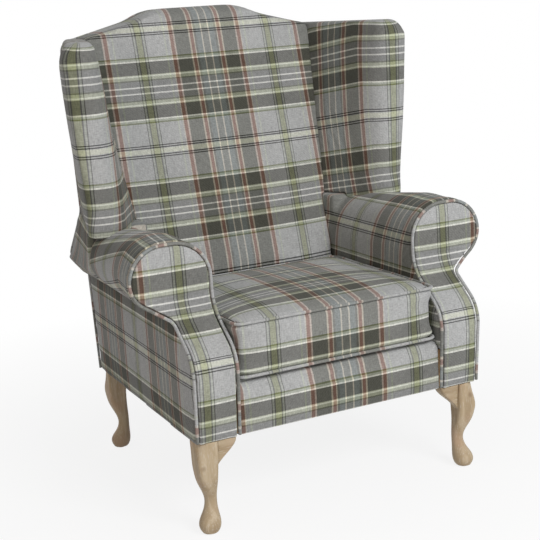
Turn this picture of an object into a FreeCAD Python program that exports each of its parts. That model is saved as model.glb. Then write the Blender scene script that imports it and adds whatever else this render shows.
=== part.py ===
import FreeCAD, Part
import math
import os

# Fireside wing chair: a timber frame on four cabriole legs, sprung seat, scrolled arms,
# high reclined back with a humped top, and a loose box cushion with a zip.
# Millimetres, +Z up, the sitter faces -Y, +X is the sitter's left.
# The origin is on the floor, at the centre of the chair's box.

V = FreeCAD.Vector

# Overall sizes
overall_height = 1080.0
overall_width = 872.0
overall_depth = 757.0

# Fits
face_gap = 0.3          # between neighbours that only lie against each other
bolt_gap = 0.2          # round a bolt in its hole
zip_gap = 0.3
insert_gap = 0.1        # round a threaded insert
thread_gap = 0.05       # between a bolt and its insert
strap_gap = 0.1         # between the webbing and the posts
bolt_end_gap = 3.0      # past the end of a bolt
over_run = 60.0         # tools run this far past what they trim
section_run = 5.0       # end sections lie this far past where the shape is trimmed
far = 1000.0            # beyond every face, for tools that only cut

# Base, rails and covers
leg_height = 207.0
base_rear_taper = 17.0  # each side narrows this much towards the rear
base_front_setback = 11.5
back_rake = 92.5        # how far the outside back leans over its height
rail_lift = 2.0
rail_height = 87.0
rail_thick = 22.0
side_cover_thick = 8.0
back_cover_thick = 6.0
dust_cover_thick = 1.5

# Arms
arm_height = 618.0
arm_thick = 102.0
arm_inner_slope = 0.009732   # how far the arm's inner side leans in for each mm of height
scroll_overhang = 84.0
scroll_neck_drop = 166.0
scroll_under_rise = 53.0
scroll_top_radius = 80.0
scroll_inner_radius = 85.0
scroll_under_radius = 55.0
neck_radius = 15.0
neck_overhang = 3.0
arm_wall = 14.0
arm_crown = 8.0
arm_rear_drop = 22.0
arm_rear_taper = 34.0
arm_roll_run = 6.0      # the roll ends this far behind the foot of the inside back
arm_crown_run = 91.0    # the roll's highest place, behind the scroll's face
arm_block_overhang = 5.0
wing_cover_lap = 31.0   # the wing's cover comes over the roll this far behind the wing's front
scroll_setback = 107.5  # scroll face behind the front of the knee
knee_share = 0.7265    # the knee's place between the base and the scroll's neck
knee_radius = 76.0
swan_radius = 82.0
facing_thick = 10.0
piping_radius = 3.5
piping_band = 9.0
piping_setback = 1.5
piping_rise = 1.0

# Arm timbers
arm_foot_lift = 4.0     # the arm pads start this far above the seat rails
top_board_inset = 30.0
top_board_short = 10.0
lower_rail_inset = 25.0
board_thick = 18.0
board_inset = 10.0
arm_rail_width = 50.0
arm_rail_thick = 22.0
arm_top_width = 85.0
arm_top_thick = 18.0
arm_top_depth = 58.0

# Seat
platform_thick = 24.0
border_thick = 11.7
border_setback = 16.5
border_top_radius = 20.0
border_lap = 6.0        # the border's roll reaches this far behind the front rail
border_drop = 8.0
crease_gap = 6.0        # the inside back is this much wider than the seat on each side
seat_clearance = 6.0
cushion_front_setback = 18.0
cushion_rear_gap = 6.0
cushion_thick = 121.0
cushion_crown = 22.0
cushion_corner = 34.0
cushion_draw = 5.0
cushion_least_corner = 18.0
boxing_turn = 35.0      # the boxing is drawn in over this height from each cord
cord_ease = 1.5
cord_inset = 1.0
cord_lift = 0.8
crown_foot = 3.0        # where the crown starts, above the cushion's edge height
cover_thick = 2.0
zip_length = 400.0
zip_band = 30.0
zip_end = 4.0           # left free at the end of the chain
tape_thick = 1.2
chain_thick = 1.4
chain_half = 2.5
slider_length = 13.0
slider_half = 5.5
slider_thick = 3.6
pull_length = 22.0
pull_half = 3.5
pull_thick = 1.0
pull_bar_radius = 0.6
bridge_half = 1.2
bridge_foot = 4.5
bridge_foot_half = 0.6
bridge_thick = 1.0
pull_window = 2.0       # the pull's opening runs this far past the bridge

# Back
back_depth_at_seat = 294.5
back_pad_rise = 28.0    # above the cushion's edge, where the inside back starts to recline
back_top_thick = 109.0
back_crown = 20.0
hump_half = 115.0
hump_dip_run = 50.0     # from the hump's shoulder out to its dip
hump_dip_drop = 24.0
hump_radius = 160.0
hump_dip_radius = 180.0
hump_corner_radius = 12.0
back_top_front_radius = 32.0
back_top_rear_radius = 30.0
crown_reach = 80.0      # the back's crown runs on this far past the seat's sides
back_rail_drop = 150.0
back_rail_setback = 14.0
back_rail_inset = 26.0
small_rail_height = 50.0
tacking_rail_lift = 20.0
bottom_rail_setback = 8.0
post_thick = 25.0
post_ease = 1.0
post_top_drop = 80.0
post_width_at_seat = 66.0
post_top_depth = 40.0
strap_thick = 2.0
strap_width = 50.0
strap_count = 5
strap_inset = 4.0
strap_low_gap = 14.0
strap_high_gap = 60.0
crease_spread = 44.0    # how far the wing crease moves out from the arm to the top

# Wings
wing_top_drop = 58.0
wing_lead = 80.0        # the wing's front, ahead of the foot of the inside back
wing_thick_bottom = 82.0
wing_thick_top = 86.0
wing_overhang = 68.0    # the wing's outer side past the base, at the arm
wing_spread = 25.0      # and further out at the top
wing_front_radius = 38.0
wing_rear_cover = 8.0
wing_cap_height = 37.0
wing_cap_turn = 24.0    # height and inset of the cap's last curve
wing_cap_ease = 8.0     # inset where the cap starts to close
tail_taper = 22.0
tail_radius = 30.0
tail_lap = 2.0
tail_over_run = 20.0
roll_rear_rise = 46.0
wing_rear_step = 6.0
wing_rear_flare = 2.0
upright_size = 24.0
upright_setback = 40.0
wing_rail_relief = 3.0

# Springs
spring_count = 5
spring_pitch = 100.0
spring_wire = 3.6
spring_wave = 36.0
spring_half_width = 24.0
spring_bend = 0.49      # bend radius as a share of the pitch, close to a half circle
clip_steel = 1.2
clip_width = 20.0
clip_length = 12.0

# Legs
leg_block = 45.0
leg_inset = 4.0
ear_length = 46.0
ear_height = 62.0
ear_end = 12.0
ear_thick = 41.0
ear_setback = 1.0
ear_foot = 3.0
dust_hole_ease = 1.0
glide_radius = 10.0
glide_thick = 3.0
bolt_radius = 4.0
bolt_depth = 38.0
insert_radius = 6.0
insert_length = 16.0
corner_post = 50.0
corner_block_leg = 27.0
corner_block_height = 60.0

# Places that follow from the sizes
front_y = -overall_depth / 2
rear_y = overall_depth / 2
base_z = leg_height
base_front_y = front_y + base_front_setback
base_rear_y = rear_y - back_rake
base_half = overall_width / 2 - scroll_overhang
seat_half = base_half - arm_thick
scroll_outer = overall_width / 2
scroll_y = front_y + scroll_setback
neck_z = arm_height - scroll_neck_drop
rail_z = base_z + rail_lift
rail_top = rail_z + rail_height
front_rail_y = front_y + border_setback + border_thick + face_gap
clip_top = rail_top + spring_wire + 2 * face_gap + clip_steel
platform_z = clip_top + face_gap
platform_top = platform_z + platform_thick
cushion_z = platform_top + face_gap
cushion_edge = cushion_z + cushion_thick
seat_back_y = rear_y - back_depth_at_seat
recline_z = cushion_edge + back_pad_rise
post_y = seat_back_y + post_width_at_seat
arm_roll_end = seat_back_y + arm_roll_run
arm_crown_y = scroll_y + arm_crown_run
wing_front_y = seat_back_y - wing_lead
upright_y = wing_front_y + upright_setback
wing_z = arm_height - arm_rear_drop
wing_top = overall_height - wing_top_drop
knee_z = base_z + knee_share * (neck_z - base_z)
arm_inner_lean = arm_inner_slope * (arm_height - base_z)
cavity_top = neck_z + board_thick
arm_foot_z = rail_top + arm_foot_lift
post_outer = base_half - base_rear_taper - side_cover_thick - post_ease
post_inner = post_outer - post_thick
arm_top_z = arm_height - arm_top_depth
post_top = overall_height - post_top_drop
rail_low_z = overall_height - back_rail_drop
hump_dip_half = hump_half + hump_dip_run
back_cover_room = back_cover_thick + face_gap
side_cover_room = side_cover_thick + face_gap


def line_at(z, z0, y0, z1, y1):
    """y at height z on the straight line through (y0, z0) and (y1, z1)."""
    return y0 + (y1 - y0) * (z - z0) / (z1 - z0)


def outside_back(z):
    """Rear face of the chair at height z."""
    return line_at(z, base_z, base_rear_y, overall_height, rear_y)


def inside_back(z):
    """Front of the inside back on the centre line at height z."""
    return line_at(z, recline_z, seat_back_y, overall_height, rear_y - back_top_thick)


def post_front(z):
    """Front edge of the rear posts at height z, where the webbing is fixed."""
    return line_at(z, rail_top, post_y, overall_height, rear_y - post_top_depth)


def base_side(y):
    """Half width of the covered base at depth y."""
    return base_half - base_rear_taper * (y - base_front_y) / (base_rear_y - base_front_y)


def crease(z):
    """Half width of the inside back at height z, where it meets the wings."""
    return seat_half + crease_gap + crease_spread * (z - wing_z) / (wing_top - wing_z)


def rounded_edges(points, radii, closed):
    """Straight runs through the points, each corner rounded to its radius by a tangent arc."""
    count = len(points)
    edges = []
    start = points[0]
    last = None
    order = range(count) if closed else range(1, count - 1)
    for i in order:
        corner = points[i]
        back = (points[i - 1] - corner).normalize()
        ahead = (points[(i + 1) % count] - corner).normalize()
        turn = math.pi - back.getAngle(ahead)
        radius = radii[i]
        if radius > 0 and turn > 1e-4:
            reach = radius * math.tan(turn / 2)
            begin = corner + back * reach
            end = corner + ahead * reach
            middle = corner + (back + ahead).normalize() * (radius / math.cos(turn / 2) - radius)
            arc = Part.Arc(begin, middle, end).toShape()
        else:
            begin = corner
            end = corner
            arc = None
        if last is None and closed:
            start = begin
        else:
            edges.append(Part.makeLine(start if last is None else last, begin))
        if arc:
            edges.append(arc)
        last = end
    finish = start if closed else points[-1]
    edges.append(Part.makeLine(last, finish))
    return edges


def shift_outline(points, radii, distance):
    """A closed anticlockwise outline moved inwards, with its corner radii to match."""
    count = len(points)
    moved = []
    changed = []
    for i in range(count):
        x0, y0 = points[i - 1]
        x1, y1 = points[i]
        x2, y2 = points[(i + 1) % count]
        first = math.hypot(x1 - x0, y1 - y0)
        second = math.hypot(x2 - x1, y2 - y1)
        n1 = (-(y1 - y0) / first, (x1 - x0) / first)
        n2 = (-(y2 - y1) / second, (x2 - x1) / second)
        share = distance / (1 + n1[0] * n2[0] + n1[1] * n2[1])
        moved.append((x1 + (n1[0] + n2[0]) * share, y1 + (n1[1] + n2[1]) * share))
        convex = (x1 - x0) * (y2 - y1) - (y1 - y0) * (x2 - x1) > 0
        change = -distance if convex else distance
        changed.append(max(radii[i] + change, 0.0) if radii[i] else 0.0)
    return moved, changed


def face_xz(points, radii, y=0.0):
    corners = [V(x, y, z) for x, z in points]
    return Part.Face(Part.Wire(rounded_edges(corners, radii, True)))


def face_yz(points, radii, x=0.0):
    corners = [V(x, y, z) for y, z in points]
    return Part.Face(Part.Wire(rounded_edges(corners, radii, True)))


def face_xy(points, radii, z=0.0):
    corners = [V(x, y, z) for x, y in points]
    return Part.Face(Part.Wire(rounded_edges(corners, radii, True)))


def along_y(points, radii, y0, y1):
    return face_xz(points, radii, y0).extrude(V(0, y1 - y0, 0))


def along_x(points, radii, x0, x1):
    return face_yz(points, radii, x0).extrude(V(x1 - x0, 0, 0))


def along_z(points, radii, z0, z1):
    return face_xy(points, radii, z0).extrude(V(0, 0, z1 - z0))


def box(x0, x1, y0, y1, z0, z1):
    return Part.makeBox(x1 - x0, y1 - y0, z1 - z0, V(x0, y0, z0))


def ruled(faces):
    """A solid whose sides run straight from each section to the next."""
    return Part.makeLoft([face.OuterWire for face in faces], True, True)


def mirrored(shape):
    return shape.mirror(V(0, 0, 0), V(1, 0, 0))


def tube(points, radii, radius, closed=False):
    """A round cord that follows the rounded path."""
    edges = rounded_edges(points, radii, closed)
    path = Part.Wire(edges)
    first = edges[0]
    at = first.valueAt(first.FirstParameter)
    ring = Part.Wire(Part.makeCircle(radius, at, first.tangentAt(first.FirstParameter)))
    return path.makePipeShell([ring], True, False)


def zero(points):
    return [0.0] * len(points)


# Front of the arm, seen from the side: down the scroll face, forward over the knee, down to the base
knee_lead = 2.3
swan_points = [
    (scroll_y, arm_height + over_run),
    (scroll_y, cavity_top),
    (front_y - knee_lead, knee_z),
    (base_front_y, base_z),
]
swan_radii = [0.0, swan_radius, knee_radius, 0.0]


def swan_line(depth):
    """The arm's front line moved back by depth, top to bottom, and its corner radii."""
    behind = [(far, swan_points[-1][1]), (far, swan_points[0][1])]
    # anticlockwise, with y to the right and z up: down the front line, then back and up
    moved, radii = shift_outline(swan_points + behind, swan_radii + [0.0, 0.0], depth)
    line = moved[:4]
    line[0] = (line[0][0], swan_points[0][1])
    slope = (line[3][0] - line[2][0]) / (line[3][1] - line[2][1])
    line[3] = (line[2][0] + slope * (base_z - line[2][1]), base_z)
    return line, radii[:4]


def behind_front(depth):
    """Everything behind the arm's front line moved back by depth."""
    line, radii = swan_line(depth)
    return along_x(line + [(far, base_z), (far, swan_points[0][1])], radii + [0.0, 0.0], 0.0, far)


def scroll_outline():
    """Front view of one arm facing, anticlockwise from its inner foot."""
    points = [
        (seat_half, base_z),
        (base_half, base_z),
        (base_half + neck_overhang, neck_z),
        (scroll_outer, neck_z + scroll_under_rise),
        (scroll_outer, arm_height),
        (seat_half - arm_inner_lean, arm_height),
    ]
    radii = [0.0, 0.0, neck_radius, scroll_under_radius, scroll_top_radius, scroll_inner_radius]
    return points, radii


def front_layer(shallow, deep):
    """The layer between two depths behind the arm's front line."""
    front, front_radii = swan_line(shallow)
    rear, rear_radii = swan_line(deep)
    return along_x(front + rear[::-1], front_radii + rear_radii[::-1], 0.0, far)


def facing_column(inset):
    """The arm's front view taken in by inset, but not at its foot, as a bar along the chair."""
    outline, radii = shift_outline(*scroll_outline(), inset)
    outline[0] = (outline[0][0], base_z)
    outline[1] = (outline[1][0], base_z)
    return along_y(outline, radii, -far, far)


def arm_facing():
    return front_layer(0.0, facing_thick).common(facing_column(piping_band))


def facing_piping():
    """The covered cord round the facing, as a square strip of its size, open at the foot."""
    band = facing_column(piping_rise).cut(facing_column(piping_band - face_gap))
    return front_layer(piping_setback, facing_thick).common(band)


def arm_section(y, top, outer):
    """Cross-section of the arm pad at depth y: inner wall, roll and the space for the rail."""
    share = (top - neck_z) / scroll_neck_drop
    wall = seat_half + arm_wall
    side = base_side(y) - side_cover_room
    lean = arm_inner_slope * (top - arm_foot_z)
    points = [
        (seat_half, arm_foot_z),
        (wall, arm_foot_z),
        (wall, cavity_top),
        (side, cavity_top),
        (side, neck_z),
        (base_side(y) + neck_overhang, neck_z),
        (outer, neck_z + scroll_under_rise * share),
        (outer, top),
        (seat_half - lean, top),
    ]
    radii = zero(points)
    radii[6] = scroll_under_radius * share
    radii[7] = scroll_top_radius * share
    radii[8] = scroll_inner_radius * share
    return face_xz(points, radii, y)


def arm_top_board():
    inner = seat_half + top_board_inset
    return box(inner, inner + arm_top_width, scroll_y + facing_thick + board_thick + face_gap,
               arm_roll_end - top_board_short, arm_top_z, arm_top_z + arm_top_thick)


def arm_lower_rail():
    inner = seat_half + lower_rail_inset
    low = cavity_top - arm_rail_thick
    return box(inner, inner + arm_rail_width, scroll_y + facing_thick + board_thick + face_gap,
               post_front(low) - face_gap, low, cavity_top)


def arm_front_board():
    """Ply board behind the facing: a scroll above, a post between the covers below."""
    y0 = scroll_y + facing_thick + face_gap
    y1 = y0 + board_thick - face_gap
    scroll, radii = shift_outline(*scroll_outline(), board_inset)
    wall = seat_half + arm_wall + face_gap
    side = base_side(y1) - side_cover_room
    beside_rail = side - rail_thick - face_gap
    points = [
        (wall, rail_z),
        (beside_rail, rail_z),
        (beside_rail, rail_top + face_gap),
        (side, rail_top + face_gap),
        (side, scroll[2][1]),
        scroll[3],
        scroll[4],
        (wall, scroll[5][1]),
    ]
    corner = [0.0, 0.0, 0.0, 0.0, 0.0, radii[3], radii[4], radii[5] - arm_wall + board_inset]
    return along_y(points, corner, y0, y1)


def arm_front_block():
    """Shaped block under the knee, in front of the board and over the rails."""
    line, radii = swan_line(facing_thick + face_gap)
    rear = scroll_y + facing_thick
    rail_front = front_rail_y - face_gap
    top = (rear, line_at(rear, line[1][0], line[1][1], line[2][0], line[2][1]))
    points = [
        top,
        line[2],
        (line_at(rail_z, line[2][1], line[2][0], line[3][1], line[3][0]), rail_z),
        (rail_front, rail_z),
        (rail_front, rail_top + face_gap),
        (rear, rail_top + face_gap),
    ]
    corner = [0.0, radii[2], 0.0, 0.0, 0.0, 0.0]
    x0 = seat_half + arm_wall + face_gap
    block = along_x(points, corner, x0, base_side(rear) - side_cover_room)
    # the swan neck's hollow is a larger curve than the block's straight slope
    return block.common(behind_front(facing_thick + face_gap))


def webbing_front(z):
    """Rear of the pads at height z, just ahead of the webbing."""
    return post_front(z) - strap_thick - 2 * face_gap


def behind_posts(x0, x1, high):
    """The space of the posts and the webbing, behind the pads and up to the given height."""
    return along_x([(webbing_front(base_z), base_z), (far, base_z), (far, high),
                    (webbing_front(high), high)], [0.0] * 4, x0, x1)


def arm_pad():
    front = scroll_outer
    rear = scroll_outer - arm_rear_taper
    share = (arm_crown_y - scroll_y) / (arm_roll_end - scroll_y)
    sections = [
        arm_section(front_y - section_run, arm_height, front),
        arm_section(scroll_y, arm_height, front),
        arm_section(arm_crown_y, arm_height + arm_crown, front - arm_rear_taper * share),
        arm_section(arm_roll_end, wing_z, rear),
    ]
    roll = ruled(sections).common(behind_front(facing_thick + face_gap))
    roll = roll.cut(box(0.0, far, wing_front_y + wing_cover_lap, far, wing_z, far))
    wall = seat_half + arm_wall
    outer = base_side(arm_roll_end) + arm_block_overhang
    lean = arm_inner_slope * (wing_z - arm_foot_z)
    inner = [(seat_half, arm_foot_z), (wall, arm_foot_z), (wall, cavity_top), (outer, cavity_top),
             (outer, wing_z), (seat_half - lean, wing_z)]
    block = along_y(inner, zero(inner), arm_roll_end, post_front(wing_z) + over_run)
    block = block.cut(behind_posts(0.0, far, arm_height))
    pad = roll.fuse(block).removeSplitter()
    for timber in (arm_front_board(), arm_top_board(), wing_upright()):
        pad = pad.cut(timber)
    return pad


def wing_front(z):
    """Inner and outer half widths of the wing's front edge at height z."""
    share = (z - wing_z) / (wing_top - wing_cap_height - wing_z)
    outer = base_half + wing_overhang + wing_spread * min(share, 1.0)
    thick = wing_thick_bottom + (wing_thick_top - wing_thick_bottom) * min(share, 1.0)
    return outer - thick, outer


def wing_section(z, inset=0.0):
    """Plan of the wing pad at height z."""
    inner, outer = wing_front(z)
    rear = outside_back(z) - back_cover_room
    radius = wing_front_radius - inset * 0.7
    points = [
        (inner + inset * 0.5, wing_front_y + inset),
        (outer - inset, wing_front_y + inset),
        (post_outer + wing_rear_cover - inset * 0.5, rear),
        (crease(z), rear),
        (crease(z), inside_back(z) + back_crown),
    ]
    return face_xy(points, [radius, radius, 0.0, 0.0, 0.0], z)


def wing_upright():
    """Square post from the rear of the arm board to the wing's top rail, leaning out."""
    top_inner, top_outer = wing_front(wing_top)
    foot_z = arm_top_z + arm_top_thick
    foot_x = seat_half + top_board_inset + arm_top_width - upright_size
    top_z = wing_top - wing_cap_height
    top_x = (top_inner + top_outer - upright_size) / 2
    x1, y0, y1 = foot_x + upright_size, upright_y, upright_y + upright_size
    base = face_xy([(foot_x, y0), (x1, y0), (x1, y1), (foot_x, y1)], [0.0] * 4, foot_z)
    return base.extrude(V(top_x - foot_x, 0, top_z - foot_z))


def wing_top_rail():
    z1 = wing_top - wing_cap_height
    z0 = z1 - upright_size
    inner, outer = wing_front(wing_top)
    front_x = (inner + outer - upright_size) / 2
    front = upright_y + upright_size + face_gap
    rear = post_front(z0) - face_gap
    plan = [(post_inner + wing_rail_relief, rear), (front_x + wing_rail_relief, front),
            (front_x + upright_size - wing_rail_relief, front), (post_outer - wing_rail_relief, rear)]
    return along_z(plan, zero(plan), z0, z1)


def tail_section(y, outer):
    """Outer half of the roll behind the arm pad, where the wing's cover comes down over it."""
    share = (wing_z - neck_z) / scroll_neck_drop
    inner = base_side(arm_roll_end) + arm_block_overhang + face_gap
    low, high = neck_z + face_gap, wing_z + tail_lap
    points = [(inner, low), (inner + neck_overhang, low),
              (outer, neck_z + scroll_under_rise * share), (outer, high), (inner, high)]
    radii = [0.0, 0.0, tail_radius, tail_radius, 0.0]
    return face_xz(points, radii, y)


def wing_pad():
    cap = wing_top - wing_cap_height
    upper = ruled([wing_section(wing_z), wing_section(cap),
                   wing_section(cap + wing_cap_turn, wing_cap_ease),
                   wing_section(wing_top, wing_cap_turn)])
    outer = scroll_outer - arm_rear_taper
    tail = ruled([tail_section(arm_roll_end + face_gap, outer),
                  tail_section(outside_back(wing_z) + tail_over_run, outer - tail_taper)])
    rear_plane = [(-far, base_z), (outside_back(base_z) - back_cover_room, base_z),
                  (outside_back(far) - back_cover_room, far), (-far, far)]
    tail = tail.common(along_x(rear_plane, zero(rear_plane), 0.0, far))
    pad = upper.fuse(tail).removeSplitter()
    pad = pad.cut(behind_posts(seat_half, post_outer + face_gap, post_top + face_gap))
    for part in (wing_upright(), wing_top_rail(), arm_pad()):
        pad = pad.cut(part)
    return pad


def hump_points(half, low_z):
    """Top of the back from the left crease over the hump to the right, anticlockwise."""
    top = overall_height
    side = [(half, low_z), (hump_dip_half, top - hump_dip_drop), (hump_half, top)]
    radii = [hump_corner_radius, hump_dip_radius, hump_radius]
    return side + [(-x, z) for x, z in side[::-1]], radii + radii[::-1]


def inside_back_section(z):
    """Plan of the back pad at height z: a crowned front and a flat rear."""
    half = seat_half + crown_reach
    centre = inside_back(z)
    edge = crease(min(z, wing_top))
    sag = back_crown * (half / edge) ** 2
    rear = centre + far / 2
    left = V(half, centre + sag, z)
    right = V(-half, centre + sag, z)
    front = Part.Arc(right, V(0, centre, z), left).toShape()
    sides = [Part.makeLine(left, V(half, rear, z)), Part.makeLine(V(half, rear, z), V(-half, rear, z)),
             Part.makeLine(V(-half, rear, z), right)]
    return Part.Face(Part.Wire([front] + sides))


def back_pad():
    foot = platform_top + face_gap
    body = ruled([inside_back_section(foot - section_run),
                  inside_back_section(overall_height + section_run)])
    top, top_radii = hump_points(crease(wing_top) - face_gap, wing_top)
    low = seat_half - arm_inner_lean - face_gap
    mid = crease(wing_z) - face_gap
    step = wing_z + face_gap
    outline = [(-low, foot), (low, foot), (low, step), (mid, step)] + top + [(-mid, step), (-low, step)]
    body = body.common(along_y(outline, [0.0] * 4 + top_radii + [0.0] * 2, -far, far))
    # over the cushion the pad reclines; beside the cushion it stands upright
    side = [
        (seat_back_y, foot),
        (webbing_front(foot), foot),
        (webbing_front(rail_low_z), rail_low_z),
        (outside_back(rail_low_z) - back_cover_room, rail_low_z),
        (outside_back(overall_height) - back_cover_room, overall_height),
        (inside_back(overall_height), overall_height),
        (seat_back_y, recline_z),
    ]
    radii = [0.0, 0.0, 0.0, 0.0, back_top_rear_radius, back_top_front_radius, 0.0]
    body = body.common(along_x(side, radii, -far, far))
    for timber in (back_top_rail(), rear_post(), mirrored(rear_post())):
        body = body.cut(timber)
    return body


def back_top_rail():
    """Shaped top rail, let into the back pad, between the posts."""
    y0 = post_front(rail_low_z) + back_rail_setback + strap_thick
    half = post_inner - face_gap
    top, radii = hump_points(half, wing_top)
    outline = [(-half, rail_low_z), (half, rail_low_z)] + [(x, z - back_rail_inset) for x, z in top]
    return along_y(outline, [0.0] * 3 + radii[1:-1] + [0.0], y0, y0 + rail_thick)


def rear_post():
    side = [(post_y, rail_z), (outside_back(rail_z) - back_cover_room, rail_z),
            (outside_back(post_top) - back_cover_room, post_top), (post_front(post_top), post_top),
            (post_y, rail_top)]
    return bored_for_bolts(along_x(side, zero(side), post_inner, post_outer))


def outside_outline():
    """Rear view of the whole back, anticlockwise from its lower right corner."""
    side = post_outer + wing_rear_cover
    foot = base_half - base_rear_taper
    roll = scroll_outer - arm_rear_taper - tail_taper
    top, top_radii = hump_points(crease(wing_top), wing_top)
    right = [
        (foot, base_z),
        (foot + neck_overhang, neck_z),
        (roll, neck_z + roll_rear_rise),
        (roll, wing_z),
        (side, wing_z + wing_rear_step),
        (side + wing_rear_flare, wing_top),
    ]
    radii = [0.0, 10.0, tail_radius, tail_radius, 12.0, 34.0]
    points = right + top + [(-x, z) for x, z in right[::-1]]
    return points, radii + top_radii + radii[::-1]


def outside_back_panel():
    outline, radii = shift_outline(*outside_outline(), piping_band - 1.0)
    outline[0] = (outline[0][0], base_z)
    outline[-1] = (outline[-1][0], base_z)
    low, high = base_z, overall_height + over_run
    slab = [(outside_back(low) - back_cover_thick, low), (outside_back(low), low),
            (outside_back(high), high), (outside_back(high) - back_cover_thick, high)]
    plate = along_x(slab, zero(slab), -far, far)
    return plate.common(along_y(outline, radii, -far, far))


def back_piping():
    """The cord round the outside back, from one foot over the top to the other."""
    outline, radii = shift_outline(*outside_outline(), (piping_band - 1.0) / 2)
    radius = back_cover_thick / 2
    outline[0] = (outline[0][0], base_z + face_gap)
    outline[-1] = (outline[-1][0], base_z + face_gap)
    corners = [V(x, outside_back(z) - radius, z) for x, z in outline]
    return tube(corners, radii, radius)


def side_panel():
    y0, y1 = front_y - over_run, rear_y + over_run
    plan = [(base_side(y0) - side_cover_thick, y0), (base_side(y0), y0),
            (base_side(y1), y1), (base_side(y1) - side_cover_thick, y1)]
    panel = along_z(plan, zero(plan), base_z, neck_z - face_gap)
    line, radii = swan_line(facing_thick + face_gap)
    rear_low = outside_back(base_z) - back_cover_room
    rear_high = outside_back(neck_z) - back_cover_room
    side = line + [(rear_low, base_z), (rear_high, neck_z), (rear_high, line[0][1])]
    return panel.common(along_x(side, radii + [0.0] * 3, 0.0, far))


def border_lip():
    """Rear edge of the border's roll, on the springs behind the front rail."""
    return front_y + border_setback + border_thick + rail_thick + border_lap


def front_border():
    y0 = front_y + border_setback
    y1 = y0 + border_thick
    top = platform_top - border_drop
    side = [(y0, base_z), (y1, base_z), (y1, platform_z), (border_lip(), platform_z),
            (border_lip(), top), (y0, top)]
    half = seat_half - face_gap
    return along_x(side, [0.0] * 5 + [border_top_radius], -half, half)


def seat_platform():
    half = seat_half - face_gap
    return box(-half, half, border_lip() + face_gap, post_y - face_gap, platform_z, platform_top)


def corner_post_side():
    """Outer side of the front corner posts."""
    return base_side(front_rail_y + corner_post) - side_cover_room


def front_rail():
    half = corner_post_side() - corner_post - face_gap
    return box(-half, half, front_rail_y, front_rail_y + rail_thick, rail_z, rail_top)


def side_rail():
    y0, y1 = front_rail_y + corner_post + face_gap, post_y - face_gap
    x0, x1 = base_side(y0) - side_cover_room, base_side(y1) - side_cover_room
    plan = [(x0 - rail_thick, y0), (x0, y0), (x1, y1), (x1 - rail_thick, y1)]
    return along_z(plan, zero(plan), rail_z, rail_top)


def back_seat_rail():
    half = post_inner - face_gap
    return box(-half, half, post_y, post_y + rail_thick, rail_z, rail_top)


def back_tacking_rail():
    half = post_inner - face_gap
    z0 = platform_top + tacking_rail_lift
    z1 = z0 + small_rail_height
    y0 = post_front(z1) + strap_thick
    return box(-half, half, y0, y0 + rail_thick, z0, z1)


def bottom_rail_front():
    """Front face of the rail along the rear of the base."""
    return base_rear_y - back_cover_thick - bottom_rail_setback - rail_thick


def rear_bottom_rail():
    half = post_inner - face_gap
    y0 = bottom_rail_front()
    return box(-half, half, y0, y0 + rail_thick, rail_z, rail_z + small_rail_height)


def leg_axes():
    """Where the four leg blocks stand, with the turn that points each leg's corner outwards."""
    reach = leg_inset + leg_block / 2
    x_front = base_half - reach
    x_rear = base_half - base_rear_taper - reach
    y_front = base_front_y + reach
    y_rear = base_rear_y - reach
    return {
        "front_left": (x_front, y_front, -90.0),
        "front_right": (-x_front, y_front, 180.0),
        "rear_left": (x_rear, y_rear, 0.0),
        "rear_right": (-x_rear, y_rear, 90.0),
    }


def at_legs(radius, z0, z1):
    """One upright round bar on each leg's centre."""
    return [Part.makeCylinder(radius, z1 - z0, V(x, y, z0)) for x, y, turn in leg_axes().values()]


def leg_bolts():
    """Hanger bolts, half in the legs and half in the posts above them."""
    return Part.makeCompound(at_legs(bolt_radius, base_z - bolt_depth, base_z + bolt_depth))


def leg_inserts():
    """Threaded inserts in the undersides of the posts."""
    bores = at_legs(bolt_radius + thread_gap, base_z, base_z + bolt_depth)
    sleeves = at_legs(insert_radius, rail_z, rail_z + insert_length)
    return Part.makeCompound([sleeve.cut(bore) for sleeve, bore in zip(sleeves, bores)])


def bored_for_bolts(post):
    """A post with the holes for the insert and the bolt that fall in it."""
    for bar in at_legs(insert_radius + insert_gap, base_z, rail_z + insert_length + face_gap):
        post = post.cut(bar)
    for bar in at_legs(bolt_radius + bolt_gap, base_z, base_z + bolt_depth + bolt_end_gap):
        post = post.cut(bar)
    return post


def front_corner_post():
    """Post in the front corner of the seat frame, over the leg."""
    x1 = corner_post_side()
    y0 = front_rail_y
    return bored_for_bolts(box(x1 - corner_post, x1, y0, y0 + corner_post, rail_z, rail_top))


def corner_blocks():
    """Three-cornered glue blocks inside the seat frame."""
    size = corner_block_leg
    front_x = corner_post_side() - corner_post - face_gap
    front_edge = front_rail_y + rail_thick + face_gap
    rear_x = post_inner - face_gap
    rear_edge = bottom_rail_front() - face_gap
    front = [(front_x - size, front_edge), (front_x, front_edge), (front_x, front_edge + size)]
    rear = [(rear_x, rear_edge - size), (rear_x, rear_edge), (rear_x - size, rear_edge)]
    blocks = []
    for plan, height in ((front, corner_block_height), (rear, small_rail_height)):
        block = along_z(plan, zero(plan), rail_z, rail_z + height)
        blocks += [block, mirrored(block)]
    return Part.makeCompound(blocks)


# Block stations: height as a share of the leg, radius of the outer corner and of the others
block_stations = [(1.0, 37.0, 3.0), (0.91, 26.0, 4.0), (0.82, 14.0, 5.0)]

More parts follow.
